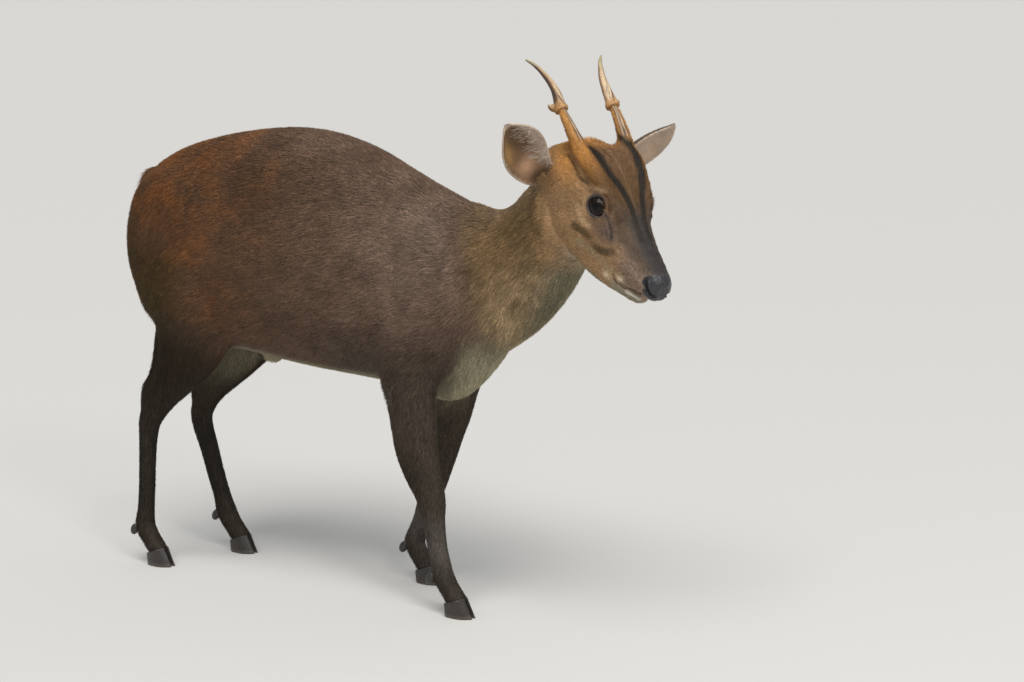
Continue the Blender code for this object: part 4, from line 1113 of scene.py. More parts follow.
def head_colours(points):
    """The coat of the head, its stripes, brows and bare skin."""
    every = head_frame(points)
    local = folded(every)
    x, y, z = local.T
    blotch = noise(points, 0.012, 31)
    fleck = noise(points, 0.004, 32)
    speckle = np.clip(noise(points, 0.0022, 33) + 0.3 * fleck, 0, 1)
    dots = ramp(noise(local, 0.0020, 34), 0.35, 0.60)

    def line(name, half_width):
        return band(every if "stripe" in name else local, LAID[name], half_width)

    top = ramp(z - 0.5 * y, 0.012, 0.026)
    high = z + 0.15 * (x - 0.15)
    stripe_width = 0.0056 - 0.0024 * ramp(x, 0.05, 0.14)
    u, v, reach, ring = eye_sides(local)
    near = ramp(reach, -0.002, 0.004)
    lid_light = np.exp(-((ring - 1.62) / 0.22) ** 2) * near * ramp(-v, 0, 0.004)
    pit = [(px - 0.3 * deep, py - 0.5 * deep, pz) for px, py, pz, deep, _ in NOSTRIL]
    out = blended(CHEEK, [
        # Temple, nape side, cheek and jaw
        # The temple's orange, brighter towards the top: partly its own colour, partly painted light
        # from above
        (TEMPLE, 0.9 * ramp(z, -0.006, 0.030) * ramp(0.085 - x, 0, 0.05)),
        (TAN, 0.6 * ramp(-x, -0.045, 0.0) * fall(z, -0.02, 0.01)),
        (CHEEK_LIGHT, 0.90 * line("light cheek", 0.0050) * (0.9 + 0.4 * fleck)),
        (DARK_CHEEK, 0.40 * line("cheek shade", 0.0055)),
        (DARK_CHEEK, 0.65 * line("dark cheek", 0.0042)),
        (TAN, 0.9 * fall(x, 0.035, 0.075) * fall(z, -0.064, -0.040)),
        (JAW_UNDER, 0.85 * fall(z, -0.072, -0.058) * ramp(x, 0.055, 0.085)),
        # Forehead, brow and the sides of the bridge
        (FOREHEAD, top),
        (STRIPE, 0.75 * top * speckle),
        (ORANGE, 0.6 * top * ramp(0.055 - x, 0, 0.02)),
        # The crown's tuft in the temple's orange, which is partly painted light
        (TEMPLE, 0.8 * crown_share(local) * (0.8 + 0.5 * fleck)),
        (ORANGE, line("brow", 0.0095) * (0.92 + 0.2 * blotch)),
        (BROW_LOW, ramp(x, 0.058, 0.112) * ramp(z - 0.5 * y, 0.000, 0.014)),
        # Painted shade in the skin fold on the temple
        (DARK_RUST, 0.70 * line("fold", 0.0022)),
        # Muzzle and stripes
        (MUZZLE_SIDE, 0.95 * ramp(x, 0.140, 0.172)),
        (BRIDGE_SIDE, 0.9 * ramp(x, 0.108, 0.140) * ramp(high, -0.014, 0.004)),
        (DARK_CHEEK, 0.70 * line("dark jowl", 0.0042)),
        (DARK_CHEEK, 0.7 * dots * spot(local, (0.172, 0, -0.024), (0.013, None, 0.010))),
        (MUZZLE_TOP, 0.95 * line("bridge", 0.0105)),
        (STRIPE, line("right stripe", stripe_width)),
        (STRIPE, line("left stripe", stripe_width)),
        # Round the eye
        (UNDER_EYE, 0.9 * spot(local, (0.127, 0.030, -0.004), (0.020, None, 0.013))),
        (OCHRE, 0.85 * line("under eye", 0.0040)),
        (OCHRE, 0.60 * lid_light * ramp(-u, 0.0062, 0.0100)),
        (LID_SKIN, fall(ring, 1.22, 1.40) * near),
        (STRIPE, 0.85 * fall(ring, 1.04, 1.16) * near),
        (GLAND_SKIN, 0.8 * line("gland", 0.0040)),
        # A dark line down the gland's slit, widest at its lower end: painted shade in the slit
        (STRIPE, 0.9 * line("gland", 0.0010 + 0.0010 * ramp(x, 0.125, 0.131))),
        # Lips and nose
        (LIP_PALE, 0.95 * spot(local, (0.1593, 0.0143, -0.0443), (0.0046, 0.012, 0.0036))),
        (LIP_PALE, 0.95 * spot(local, (0.1416, 0.0190, -0.0524), (0.0046, 0.012, 0.0036))),
        (JAW_UNDER, 0.7 * ramp(x, 0.140, 0.158) * fall(z, -0.052, -0.047)),
        (LIP_WHITE, line("white lip", 0.0015)),
        (STRIPE, 0.85 * line("mouth", 0.0013)),
        (NOSE, nose_pad(local)),
        # Painted shade in the nostrils' hollows
        (NOSTRIL_SHADE, band(local, pit, 0.0029)),
        # Pedicles: orange fur, and bare grooved horn down the front
        (PEDICLE_FUR, ramp(z, 0.056, 0.062)),
        pedicle_horn(local),
    ])
    return out * (1 + 0.10 * blotch + 0.10 * fleck)[:, None]


def markings(points):
    """The colour of coat and skin at each place."""
    share = head_share(points, -0.026, 0.010, 0.31)
    out = body_colours(points)
    head = share > 0
    out[head] = blend(out[head], head_colours(points[head]), share[head])
    near = points[:, 0] > 0.27
    # Painted shade in the crease behind the cheek
    crease = band(folded(head_frame(points[near])), LAID["crease"], 0.0042)
    out[near] = blend(out[near], DARK_CHEEK, 0.5 * crease)
    return np.clip(out, 0.002, 0.9)


def face_share(points, parts):
    """The strongest of some parts of the face at each point, 0 behind the face.

    parts gets the folded points of the face with their reach out of the eye and ring round it."""
    total = np.zeros(len(points))
    ahead = points[:, 0] > AHEAD_OF_NECK
    local = folded(head_frame(points[ahead]))
    total[ahead] = np.maximum.reduce(parts(local, *eye_sides(local)[2:]))
    return total


def bare_share(points):
    """1 where no fur grows: nose, inner lids, glands, lips and the front of the pedicles."""
    return face_share(points, lambda local, reach, ring: [
        fall(ring, 1.24, 1.36) * (reach > -0.004), nose_pad(local), pedicle_front(local)[0],
        *[band(local, LAID[name], half_width)
          for name, half_width in (("gland", 0.0022), ("nostril", 0.0026), ("mouth", 0.0014))]])


def wet_share(points):
    """1 on the moist skin of nose, lids and glands, and a little on bare horn."""
    return face_share(points, lambda local, reach, ring: [
        fall(ring, 1.10, 1.25) * (reach > 0), nose_pad(local),
        0.7 * band(local, LAID["gland"], 0.0018), 0.5 * pedicle_front(local)[0]])


def set_tint(mesh, colours):
    """Keeps a colour for each point, which the materials read."""
    layer = mesh.color_attributes.new("tint", "FLOAT_COLOR", "POINT")
    rgba = np.ones((len(colours), 4), np.float32)
    rgba[:, :3] = colours
    layer.data.foreach_set("color", rgba.ravel())


def dress(thing, look, colours, wet=None):
    """Gives a piece its material, its colours and, where it has any, its moist places."""
    set_tint(thing.data, colours)
    if wet is not None:
        layer = thing.data.attributes.new("wet", "FLOAT", "POINT")
        layer.data.foreach_set("value", wet.astype(np.float32))
    thing.data.materials.clear()
    thing.data.materials.append(look)


def lie_of(points):
    """Which way the coat lies at each place, before it is laid onto the skin."""
    x, y, z = points.T
    belly = fall(z, 0.262, 0.285) * ramp(z, 0.24, 0.26) * (np.abs(x) < 0.13)
    way = blended((-1.0, 0.0, -0.30), [
        ((-0.70, 0.0, -0.80), ramp(-x, 0.13, 0.22)),
        ((-0.30, 0.0, -1.00), ramp(-x, 0.25, 0.30) * fall(z, 0.44, 0.52)),
        ((-0.75, 0.0, -0.60), ramp(x, 0.16, 0.24)),
        ((-0.50, 0.0, -0.90), ramp(x, 0.20, 0.26) * fall(z, 0.38, 0.46)),
        ((-0.12, 0.0, -1.00), fall(z, 0.25, 0.34)),
        ((-1.00, 0.0, 0.0), belly),
        ((-0.05, 0.0, -1.0), ramp(-x, 0.290, 0.305) * fall(np.abs(y), 0.022, 0.032)),
    ])
    local = head_frame(points)
    cheek = ramp(np.abs(local[:, 1]), 0.012, 0.03) * fall(local[:, 2], -0.01, 0.02)
    face = blended((-1.0, 0.0, 0.0), [((-0.85, 0.0, -0.50), cheek)])
    face[:, 1] += 0.45 * np.sign(local[:, 1]) * ramp(local[:, 2], 0.01, 0.03)
    face = blend(face, PEDICLE_AXIS, ramp(local[:, 2], 0.056, 0.064))
    return blend(way, face @ HEAD_TURN.T, head_share(points))


def scatter(thing, density, rng):
    """Seeded places on a mesh, as many to a square metre as density says, with their normals."""
    points = points_of(thing)
    normals = normals_of(thing)
    corners = triangles_of(thing)
    a, b, c = (points[corners[:, k]] for k in range(3))
    area = 0.5 * np.linalg.norm(np.cross(b - a, c - a), axis=1)
    total = np.cumsum(area * density((a + b + c) / 3))
    count = int(total[-1])
    marks = (np.arange(count) + rng.random(count)) * total[-1] / count
    face = np.minimum(np.searchsorted(total, marks), len(corners) - 1)
    root = np.sqrt(rng.random(count))
    other = rng.random(count)
    shares = np.stack([1 - root, root * (1 - other), root * other], 1)[:, :, None]
    picked = corners[face]
    return (points[picked] * shares).sum(1), unit((normals[picked] * shares).sum(1))


def grow(name, places, normals, ways, sizes, colours, root_uv, shape, soft=0.62):
    """One piece of solid tufts, each of the shape's points and faces.

    sizes are length, width and rise. root_uv is each root's place on the piece's map, and soft is
    how far the tufts are shaded as the skin under them."""
    corners, faces = shape
    length, width, rise = (s[:, None, None] for s in sizes)
    ways = unit(ways - normals * (ways * normals).sum(1)[:, None])
    side = unit(np.cross(normals, ways))
    along, across, off = (corners[None, :, k, None] for k in range(3))
    sink = 0.0005 * (1 - np.clip(along * 8, 0, 1))
    lift = rise * (1 - (1 - along) ** 1.6)
    points = (places[:, None] + ways[:, None] * (along * length) + side[:, None] * (across * width)
              + normals[:, None] * (off * width + lift - sink))
    count = len(places)
    index = (np.arange(count)[:, None, None] * len(corners) + faces[None]).reshape(-1, 3)
    mesh = fast_mesh(name, points.reshape(-1, 3) + np.array(SHIFT), index)
    own = np.empty(points.size)
    mesh.vertex_normals.foreach_get("vector", own)
    eased = own.reshape(points.shape) * (1 - soft) + normals[:, None] * soft
    layer = mesh.attributes.new("custom_normal", "FLOAT_VECTOR", "POINT")
    layer.data.foreach_set("vector", unit(eased.reshape(-1, 3)).astype(np.float32).ravel())
    offsets = np.column_stack([corners[:, 1], corners[:, 0] - 0.5]) * PATCH
    spread = (np.clip(root_uv, PATCH, 1 - PATCH)[:, None] + offsets[None]).reshape(-1, 2)
    layer = mesh.uv_layers.new(name=BAKE_MAP)
    layer.data.foreach_set("uv", spread[index.ravel()].astype(np.float32).ravel())
    # Darker at the root, paler at the tip, and no two tufts the same
    shade = np.interp(corners[:, 0], (0, 0.5, 1), (0.80, 1.0, 1.14))
    jitter = np.exp(rng.normal(0, 0.24, count))[:, None]
    tinted = (colours * jitter)[:, None] * shade[None, :, None]
    made = new_object(name, mesh)
    dress(made, COAT, np.clip(tinted.reshape(-1, 3), 0.001, 0.95))
    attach(made, "root")


def coat_material(name, grain, roughness, bump, specular):
    """Fur, skin or horn: the tint with fine streaks, and wet where the wet attribute says."""
    made = material(name, roughness, specular)
    nodes, links = made.node_tree.nodes, made.node_tree.links
    shader = nodes["Principled BSDF"]

    def node(kind, **inputs):
        new = nodes.new("ShaderNode" + kind)
        for socket, value in inputs.items():
            new.inputs[socket.replace("_", " ")].default_value = value
        return new

    tint = node("Attribute")
    tint.attribute_name = "tint"
    speckle = node("TexNoise", Scale=grain, Detail=4.0)
    span = node("MapRange", From_Min=0.3, From_Max=0.7, To_Min=0.72, To_Max=1.28)
    scaled = node("VectorMath")
    scaled.operation = "SCALE"
    links.new(node("TexCoord").outputs["Object"], speckle.inputs["Vector"])
    links.new(speckle.outputs["Fac"], span.inputs["Value"])
    links.new(tint.outputs["Color"], scaled.inputs[0])
    links.new(span.outputs["Result"], scaled.inputs["Scale"])
    links.new(scaled.outputs["Vector"], shader.inputs["Base Color"])
    if bump:
        lump = node("Bump", Distance=bump, Strength=0.8)
        wet = node("Attribute")
        wet.attribute_name = "wet"
        gloss = node("MapRange", To_Min=roughness, To_Max=0.22)
        links.new(speckle.outputs["Fac"], lump.inputs["Height"])
        links.new(lump.outputs["Normal"], shader.inputs["Normal"])
        links.new(wet.outputs["Fac"], gloss.inputs["Value"])
        links.new(gloss.outputs["Result"], shader.inputs["Roughness"])
    return made


def piece(made, slot, *nodes):
    """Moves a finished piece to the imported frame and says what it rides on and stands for."""
    made.data.transform(Matrix.Translation(SHIFT))
    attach(made, "root")
    if nodes:
        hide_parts(*nodes)


def body_unwrap(points):
    """A tube's unwrap along the trunk: its length by the angle round its middle."""
    x, y, z = points.T
    angle = np.arctan2(y, z - 0.40) / math.tau + 0.5
    return np.column_stack([(x + 0.34) / 0.72, angle])


def head_unwrap(points):
    """A tube's unwrap along the head."""
    local = head_frame(points)
    angle = np.arctan2(local[:, 1], local[:, 2] + 0.015) / math.tau + 0.5
    return np.column_stack([(local[:, 0] + 0.04) / 0.27, angle])


def leg_unwrap(points):
    """The leg's height by the angle round its own middle line."""
    x, y, z = points.T
    best = np.full(len(points), 1.0)
    angle = np.zeros(len(points))
    for rows, sign in LEGS.values():
        line = np.array(sided(rows, sign))[::-1]
        dx = x - np.interp(z, line[:, 2], line[:, 0])
        dy = y - np.interp(z, line[:, 2], line[:, 1])
        away = np.hypot(dx, dy)
        nearer = away < best
        best[nearer] = away[nearer]
        angle[nearer] = (np.arctan2(dy, dx) / math.tau + 0.5)[nearer]
    return np.column_stack([angle, z / 0.36])


def region_of(points):
    """Which piece of fur each place belongs to: 2 to 11 body, 20 to 23 legs, 30 and 31 head."""
    x, y, z = points.T
    head = head_share(points) > 0.5
    leg = (z < 0.30) & ((x < -0.12) | (x > 0.03)) & ~head
    region = 2 * (1 + np.digitize(x, BODY_CUTS)) + (y > 0)
    region = np.where(leg, np.where(x > 0, 20, 22) + (y > 0), region)
    return np.where(head, 30 + (head_frame(points)[:, 1] > 0), region)


def coat_sizes(points):
    """Length, width and rise of the tufts at each place, and how many grow to a square metre."""
    x, y, z = points.T
    local = head_frame(points)
    head = head_share(points)
    leg = fall(z, 0.16, 0.32)
    muzzle = ramp(local[:, 0], 0.10, 0.16)
    tail = ramp(-x, 0.300, 0.312) * fall(np.abs(y), 0.022, 0.032)
    stem = ramp(local[:, 2], 0.050, 0.062) * head
    crown = crown_share(local)

    def joined(body, face):
        return body * (1 - head) + face * head

    length = joined(0.0105 - 0.0035 * leg + 0.010 * tail, 0.0062 - 0.0028 * muzzle)
    width = joined(0.0011 - 0.0003 * leg, 0.00070 - 0.00018 * muzzle)
    rise = joined(0.0024 - 0.0012 * leg, 0.0011 - 0.0006 * muzzle)
    density = joined(400000 + 100000 * leg, 800000 + 500000 * muzzle)
    return length - 0.0022 * stem + 0.0055 * crown, width, rise + 0.0040 * crown, density


def grow_coat():
    """All the fur of the skin, in one piece for each region."""
    places, normals = scatter(
        skin, lambda middles: THIN * coat_sizes(middles)[3] * (1 - bare_share(middles)), rng)
    keep = bare_share(places) < 0.5
    places, normals = places[keep], normals[keep]
    length, width, rise, _ = coat_sizes(places)
    count = len(places)
    length = length * np.exp(rng.normal(0, 0.16, count))
    width = width * np.exp(rng.normal(0, 0.15, count)) / math.sqrt(THIN)
    rise = rise * rng.uniform(0.55, 1.25, count)
    ways = unit(lie_of(places))
    ways += 0.14 * rng.normal(0, 1, (count, 3))
    ways += 0.10 * np.stack([noise(places, 0.02, 41 + k) for k in range(3)], 1)
    colours = markings(places)
    region = region_of(places)
    for number in np.unique(region):
        mine = region == number
        if mine.sum() < LEAST_TUFTS:
            continue
        unwrap = head_unwrap if number >= 30 else leg_unwrap if number >= 20 else body_unwrap
        sizes = length[mine], width[mine], rise[mine]
        grow("fur_%02d" % number, places[mine], normals[mine], ways[mine], sizes, colours[mine],
             unwrap(places[mine]), HAIR)


def ear_frame(sign):
    """The ear's axis, the way its cup faces and the way across, in the head's frame."""
    axis = mirrored(EAR_AXIS[sign], sign)
    face = mirrored(EAR_FACING[sign], sign)
    face = (face - axis * face.dot(axis)).normalized()
    return axis, face, axis.cross(face)


def ear_half_width(t):
    """Half the ear's width at a share of its length."""
    return EAR_HALF_WIDTH * np.clip(np.sin(np.pi * np.clip(0.05 + 0.95 * t, 0, 1) ** 1.1), 0, 1) ** 0.62


def ear_shell(sign):
    """A leaf-shaped cup with a thin rim, rolled into a tube at its root."""
    axis, face, across = ear_frame(sign)
    steps, cross_steps = 56, 44
    points = []
    root = mirrored(EAR_ROOT, sign)
    for t in np.arange(steps + 1) / steps:
        half = max(float(ear_half_width(t)), EAR_LEAST_HALF)
        roll = math.radians(100 - 45 * min(t / 0.35, 1.0) - 8 * t)
        bend = half / math.sin(min(roll, math.pi / 2))
        for j in range(cross_steps + 1):
            share = 2 * j / cross_steps - 1
            angle = share * roll
            sideways = bend * math.sin(angle)
            deep = bend * (math.cos(angle) - 1) + EAR_DEPTH * math.sin(math.pi * min(t, 0.9)) ** 0.8
            ripple = 0.0006 * math.sin(9 * t + 4 * share) * abs(share) ** 3
            centre = root + axis * (EAR_LENGTH[sign] * t)
            points.append(HEAD @ (centre + across * sideways - face * (deep + ripple)))
    faces = grid_faces(steps + 1, cross_steps + 1, closed=False)
    made = new_object("ear_cup_" + SIDE[sign], fast_mesh("ear_cup", np.array(points), faces))
    shell = made.modifiers.new("thickness", "SOLIDIFY")
    shell.thickness = EAR_THICKNESS
    shell.offset = 0.0
    round_edge = made.modifiers.new("round", "BEVEL")
    round_edge.width = EAR_THICKNESS * 0.4
    round_edge.segments = 2
    apply_modifiers(made)
    return made


def ear_places(points, sign):
    """How far along the ear each place is, how far across, and how near the rim."""
    axis, _, across = ear_frame(sign)
    offset = head_frame(points) - np.array(mirrored(EAR_ROOT, sign))
    t = offset @ np.array(axis) / EAR_LENGTH[sign]
    side = offset @ np.array(across)
    half = np.maximum(ear_half_width(t), EAR_LEAST_HALF)
    return t, side / half, np.clip(np.maximum(np.abs(side) / half, t), 0, 1)


def ear_colours(points, inside, sign):
    """Back of the ear brown; the cup brown with ochre and pink patches; the rim pale."""
    t, across, rim = ear_places(points, sign)
    front = -across * sign
    # On the far ear the pale part spans the whole cup, partly as painted light over its shaded lower
    # part
    pale = ramp(front, EAR_PALE_FROM[sign], EAR_PALE_FROM[sign] + 0.50) * ramp(t, 0.05, 0.25)
    cup = blended(EAR_INSIDE, [
        (EAR_OCHRE, 0.85 * np.exp(-((t - 0.62) / 0.20) ** 2 - ((front + 0.60) / 0.30) ** 2)),
        (EAR_PINK, 0.85 * np.exp(-((t - 0.24) / 0.14) ** 2 - ((front + 0.15) / 0.60) ** 2)),
        (EAR_PALE, 0.75 * pale),
        (DARK_RUST, 0.8 * fall(t, 0.02, 0.13)),
    ])
    out = blended(EAR_BACK, [(cup, inside), (EAR_PALE, 0.7 * ramp(rim, 0.92, 0.98) * inside)])
    return out * (1 + 0.15 * noise(points, 0.009, 51))[:, None]


def build_ear(sign):
    """The cup, its short fur inside and out, and its long pale hairs."""
    made = ear_shell(sign)
    axis, face, across = (np.array(HEAD.to_3x3() @ way) for way in ear_frame(sign))
    inside = ramp(normals_of(made) @ face, -0.1, 0.1)
    dress(made, SKIN, ear_colours(points_of(made), inside, sign))
    places, normals = scatter(made, lambda middles: np.full(len(middles), THIN * 420000), rng)
    t, side, rim = ear_places(places, sign)
    inside = normals @ face > 0.0
    edge = ramp(rim, 0.80, 0.97)
    keep = (t > 0.03) & (~inside | (rng.random(len(places)) < 0.22 + 0.5 * edge))
    places, normals, inside, t, side, rim, edge = (
        values[keep] for values in (places, normals, inside, t, side, rim, edge))
    count = len(places)
    length = np.where(inside, 0.0042 + 0.0010 * edge, 0.0045 - 0.0020 * edge)
    length = length * (1 - 0.55 * ramp(t, 0.70, 0.95)) * np.exp(rng.normal(0, 0.2, count))
    width = np.where(inside, 0.00045, 0.00070) / math.sqrt(THIN)
    rise = np.where(inside, 0.0008, 0.0006) * rng.uniform(0.4, 1.2, count)
    ways = axis + 0.18 * rng.normal(0, 1, (count, 3))
    ways += across * (side * (0.25 * ~inside - 0.8 * edge * inside))[:, None]
    colours = ear_colours(places, inside.astype(float), sign)
    colours = blend(colours, EAR_HAIR, inside * (0.10 + 0.15 * edge))
    root_uv = np.clip(np.column_stack([t, side * 0.25 + 0.25 + 0.5 * inside]), 0, 1)
    grow("ear_fur_" + SIDE[sign], places, normals, ways, (length, width, rise), colours, root_uv, HAIR)
    # The long hairs lean from the front edge across the cup
    wanted = inside & (t < 0.85) & (t > 0.15) & (rim < 0.97) & (-side * sign > 0.30)
    picked = np.where(wanted)[0]
    picked = picked[rng.random(len(picked)) < min(1.0, 900 / max(len(picked), 1))]
    count = len(picked)
    ways = axis * 0.35 + face * 0.15 + across * sign * 0.95 + 0.25 * rng.normal(0, 1, (count, 3))
    length = rng.uniform(0.006, 0.014, count)
    sizes = (length, np.full(count, 0.00038), rng.uniform(0.0010, 0.0025, count))
    grow("ear_locks_" + SIDE[sign], places[picked], normals[picked], ways, sizes,
         np.tile(EAR_HAIR, (count, 1)), root_uv[picked], LOCK)
    piece(made, "coat", "ear_" + SIDE[sign])


def horn_colours(local, normals, tip, sign):
    """Dark brown behind, with grooves, and a pale polished ridge in front and at the tip.

    Returns the ridges' own relief too."""
    axis = unit(np.array([[-0.0684, 0.0138, 0.0227]]))[0]
    drawn = local - (local @ axis)[:, None] * axis * 0.90
    ridge = noise(drawn, 0.0021, 61) + 0.5 * noise(drawn, 0.0009, 62)
    front = (normals @ HEAD_TURN * (1, sign, 1)) @ FRONT_OF_BEAM
    return blended(HORN, [
        (HORN_GROOVE, 0.8 * ramp(-ridge, 0.0, 0.7)),
        (HORN_GROOVE, 0.90 * ramp(-front, -0.50, 0.05) * ramp(tip, 0.03, 0.14)),
        (HORN_RIDGE, ramp(front + 0.30 * ridge, 0.55, 0.95) * ramp(tip, 0.04, 0.16)),
        (HORN_TIP, 0.9 * ramp(tip + 0.30 * front, 0.75, 1.20)),
    ]), ridge


def build_antler(sign):
    """The beam with its low burr and long grooves, and the small brow tine."""
    for rows, name, sides, spans in ((BEAM, "antler", 72, 14), (TINE, "tine", 40, 12)):
        made = bent_tube("%s_horn_%s" % (name, SIDE[sign]), sided(rows, sign), sides, spans, HEAD)
        points, normals = points_of(made), normals_of(made)
        local = folded(head_frame(points))
        reach = np.linalg.norm(local - np.array(rows[0][:3]), axis=1)
        tip = reach / reach.max()
        colours, ridge = horn_colours(local, normals, tip, sign)
        rise = 0.00042 * ridge * (1 - 0.75 * tip)
        if name == "antler":
            knobs = noise(points, 0.0024, 63)
            rise += 0.00025 * np.exp(-((reach - 0.0045) / 0.0035) ** 2) * knobs
            furred = 0.85 * fall(reach, 0.006, 0.014)
        else:
            furred = 0.8 * (1 - 0.8 * tip)
        set_points(made, points + normals * rise[:, None])
        dress(made, HORN_LOOK, blend(colours, PEDICLE_FUR, furred))
        piece(made, "antler", name + "_" + SIDE[sign])


def hoof(name, leg, inner):
    """One claw: flat underneath, sloped in front and flat-sided towards its twin."""
    point, down = coronet(leg)
    sign = LEGS[leg][1]
    out = -sign if inner else sign
    sides, levels = 48, 24
    rings = []
    for level in range(levels + 1):
        height = HOOF_CUT * level / levels
        toe = point.x + HOOF_TOE - HOOF_SLOPE * height
        heel = point.x - HOOF_HEEL - 0.10 * height
        rounding = 0.0005 * max(0.0, 1 - height / 0.0015) ** 2
        growth = 0.00016 * math.sin(height * 2400) * (height > 0.002)
        ring = []
        for k in range(sides):
            angle = math.tau * k / sides
            c, s = math.cos(angle), math.sin(angle)
            taper = 1 - 0.80 * max(c, 0) ** 2.6 - 0.12 * max(-c, 0) ** 2
            bulge = abs(s) ** (0.75 if s > 0 else 0.40)
            away = HOOF_HALF_WIDTH * (1 + math.copysign(bulge * taper, s))
            away -= HOOF_HALF_WIDTH * 0.55 * max(c, 0) ** 3
            away += (growth - rounding) * s
            ring.append(Vector((heel + (toe - heel) * (0.5 + 0.5 * c) + (growth - rounding) * c,
                                point.y + out * (CLEFT / 2 + max(away, 0)), height)))
        rings.append(ring)
    made = loft(name, rings)
    boolean(made, slab(facing(point + down * 0.0003, -down), (0.2, 0.2, 0.2)))
    local = points_of(made)
    worn = noise(local * [1, 1, 0.25], 0.0012, 71)
    colours = blended(HOOF_HORN, [(HOOF_EDGE, 0.6 * fall(local[:, 2], 0.001, 0.006))])
    dress(made, HOOF_LOOK, colours * (1 + 0.25 * worn)[:, None])
    return made


def build_feet():
    """Two claws to each foot, and two dewclaws behind its fetlock."""
    for leg, (rows, sign) in LEGS.items():
        joint = Vector(sided(rows, sign)[-3][:3])
        for label, out in (("inner", -sign), ("outer", sign)):
            name = "claw_%s_%s" % (leg, label)
            piece(hoof(name, leg, label == "inner"), "hoof", "hoof_%s_%s" % (leg, label))
            centre = joint + Vector((-0.0125, 0.0072 * out, -0.006))
            small = ball("small_" + name, centre, DEWCLAW_RADII, rings=24, turn=math.radians(30))
            worn = 1 + 0.3 * noise(points_of(small), 0.002, 72)
            dress(small, HOOF_LOOK, np.array(HOOF_HORN) * worn[:, None])
            piece(small, "hoof", "dew" + name)


def build_eyeball(sign):
    """A raised cornea over a dark iris and a level, oval pupil."""
    centre = HEAD @ mirrored(EYE, sign)
    made = ball("eyeball_" + SIDE[sign], centre, (EYE_RADIUS,) * 3, segments=96, rings=64)
    offset = points_of(made) - np.array(centre)
    along, across, out = eye_frame(sign)
    u, v = offset @ np.array(along), offset @ np.array(across)
    around = np.hypot(u, v)
    front = offset @ np.array(out) > 0
    bulge = CORNEA_RISE * fall(around, 0.0, IRIS_RADIUS) * front
    set_points(made, np.array(centre) + offset * (1 + bulge / EYE_RADIUS)[:, None])
    rays = np.column_stack([np.arctan2(v, u) * 0.010, around * 0.15, np.zeros(len(u))])
    iris = fall(around, IRIS_RADIUS - 0.0006, IRIS_RADIUS + 0.0004) * front
    colours = blended(EYE_WHITE, [(IRIS, iris)]) * (1 + 0.5 * noise(rays, 0.0008, 81) * front)[:, None]
    tilt = math.atan2(across.z, along.z)
    wide = u * math.sin(tilt) - v * math.cos(tilt)
    tall = u * math.cos(tilt) + v * math.sin(tilt)
    pupil = np.hypot(wide / PUPIL_HALF[0], tall / PUPIL_HALF[1])
    dress(made, EYE_LOOK, blend(colours, PUPIL, fall(pupil, 0.9, 1.1) * front))
    piece(made, "eye", "eye_" + SIDE[sign])


def on_lids(angle, reach, spread=1.0):
    """A point of the lids' outline in the eye's own frame, so far from the eye's centre."""
    u, v = almond(angle, spread)
    return np.array([u, v, math.sqrt(reach ** 2 - u * u - v * v)])


def out_of_eye(points, sign):
    """Points of the eye's own frame, in the world."""
    return np.array(HEAD @ mirrored(EYE, sign)) + points @ np.array(eye_frame(sign))


def build_lid_rim(sign):
    """A thin moist tube along the edge of the lids, with a painted highlight below and pink in its
    corner.
    """
    rows, turn = 96, 12
    reach = EYE_RADIUS + LID_RIM * 0.55
    own = []
    for i in range(rows):
        place = on_lids(math.tau * i / rows, reach)
        ahead = on_lids(math.tau * (i + 0.5) / rows, reach) - place
        off = place / np.linalg.norm(place)
        beside = np.cross(ahead / np.linalg.norm(ahead), off)
        for angle in math.tau * np.arange(turn) / turn:
            own.append(place + (off * math.cos(angle) + beside * math.sin(angle)) * LID_RIM)
    own = np.array(own)
    points = out_of_eye(own, sign)
    name = "lid_rim_" + SIDE[sign]
    rim = new_object(name, fast_mesh(name, points, grid_faces(rows, turn, closed=True)))
    below = (HEAD @ mirrored(EYE, sign)).z - points[:, 2]
    tones = blended(LID_RIM_TONE, [
        # Painted highlight along the moist lower edge
        (LID_RIM_HIGHLIGHT, 0.9 * ramp(below, -0.004, 0.004)),
        (SKIN_PINK, ramp(own[:, 0], 0.006, 0.011)),
    ])
    dress(rim, SKIN, tones, np.ones(len(own)))
    piece(rim, "coat")


def build_lashes(sign):
    """Short stiff hairs along the upper lid."""
    count = 34
    angles = math.pi * (1 + (np.arange(count) + 0.5) / count)
    spots = np.array([on_lids(angle, EYE_RADIUS + LID_THICKNESS, 1.05) for angle in angles])
    spots[:, 1] *= sign
    turn = np.array(eye_frame(sign))
    ways = unit(spots * (1, 1, 0)) @ turn + 0.25 * rng.normal(0, 1, (count, 3))
    length = rng.uniform(0.004, 0.007, count)
    sizes = (length, np.full(count, 0.00035), rng.uniform(0.002, 0.004, count))
    root_uv = np.column_stack([np.linspace(0.1, 0.9, count), np.full(count, 0.5)])
    grow("lashes_" + SIDE[sign], out_of_eye(spots, sign), unit(spots @ turn), ways, sizes,
         np.tile(STRIPE, (count, 1)), root_uv, LOCK)


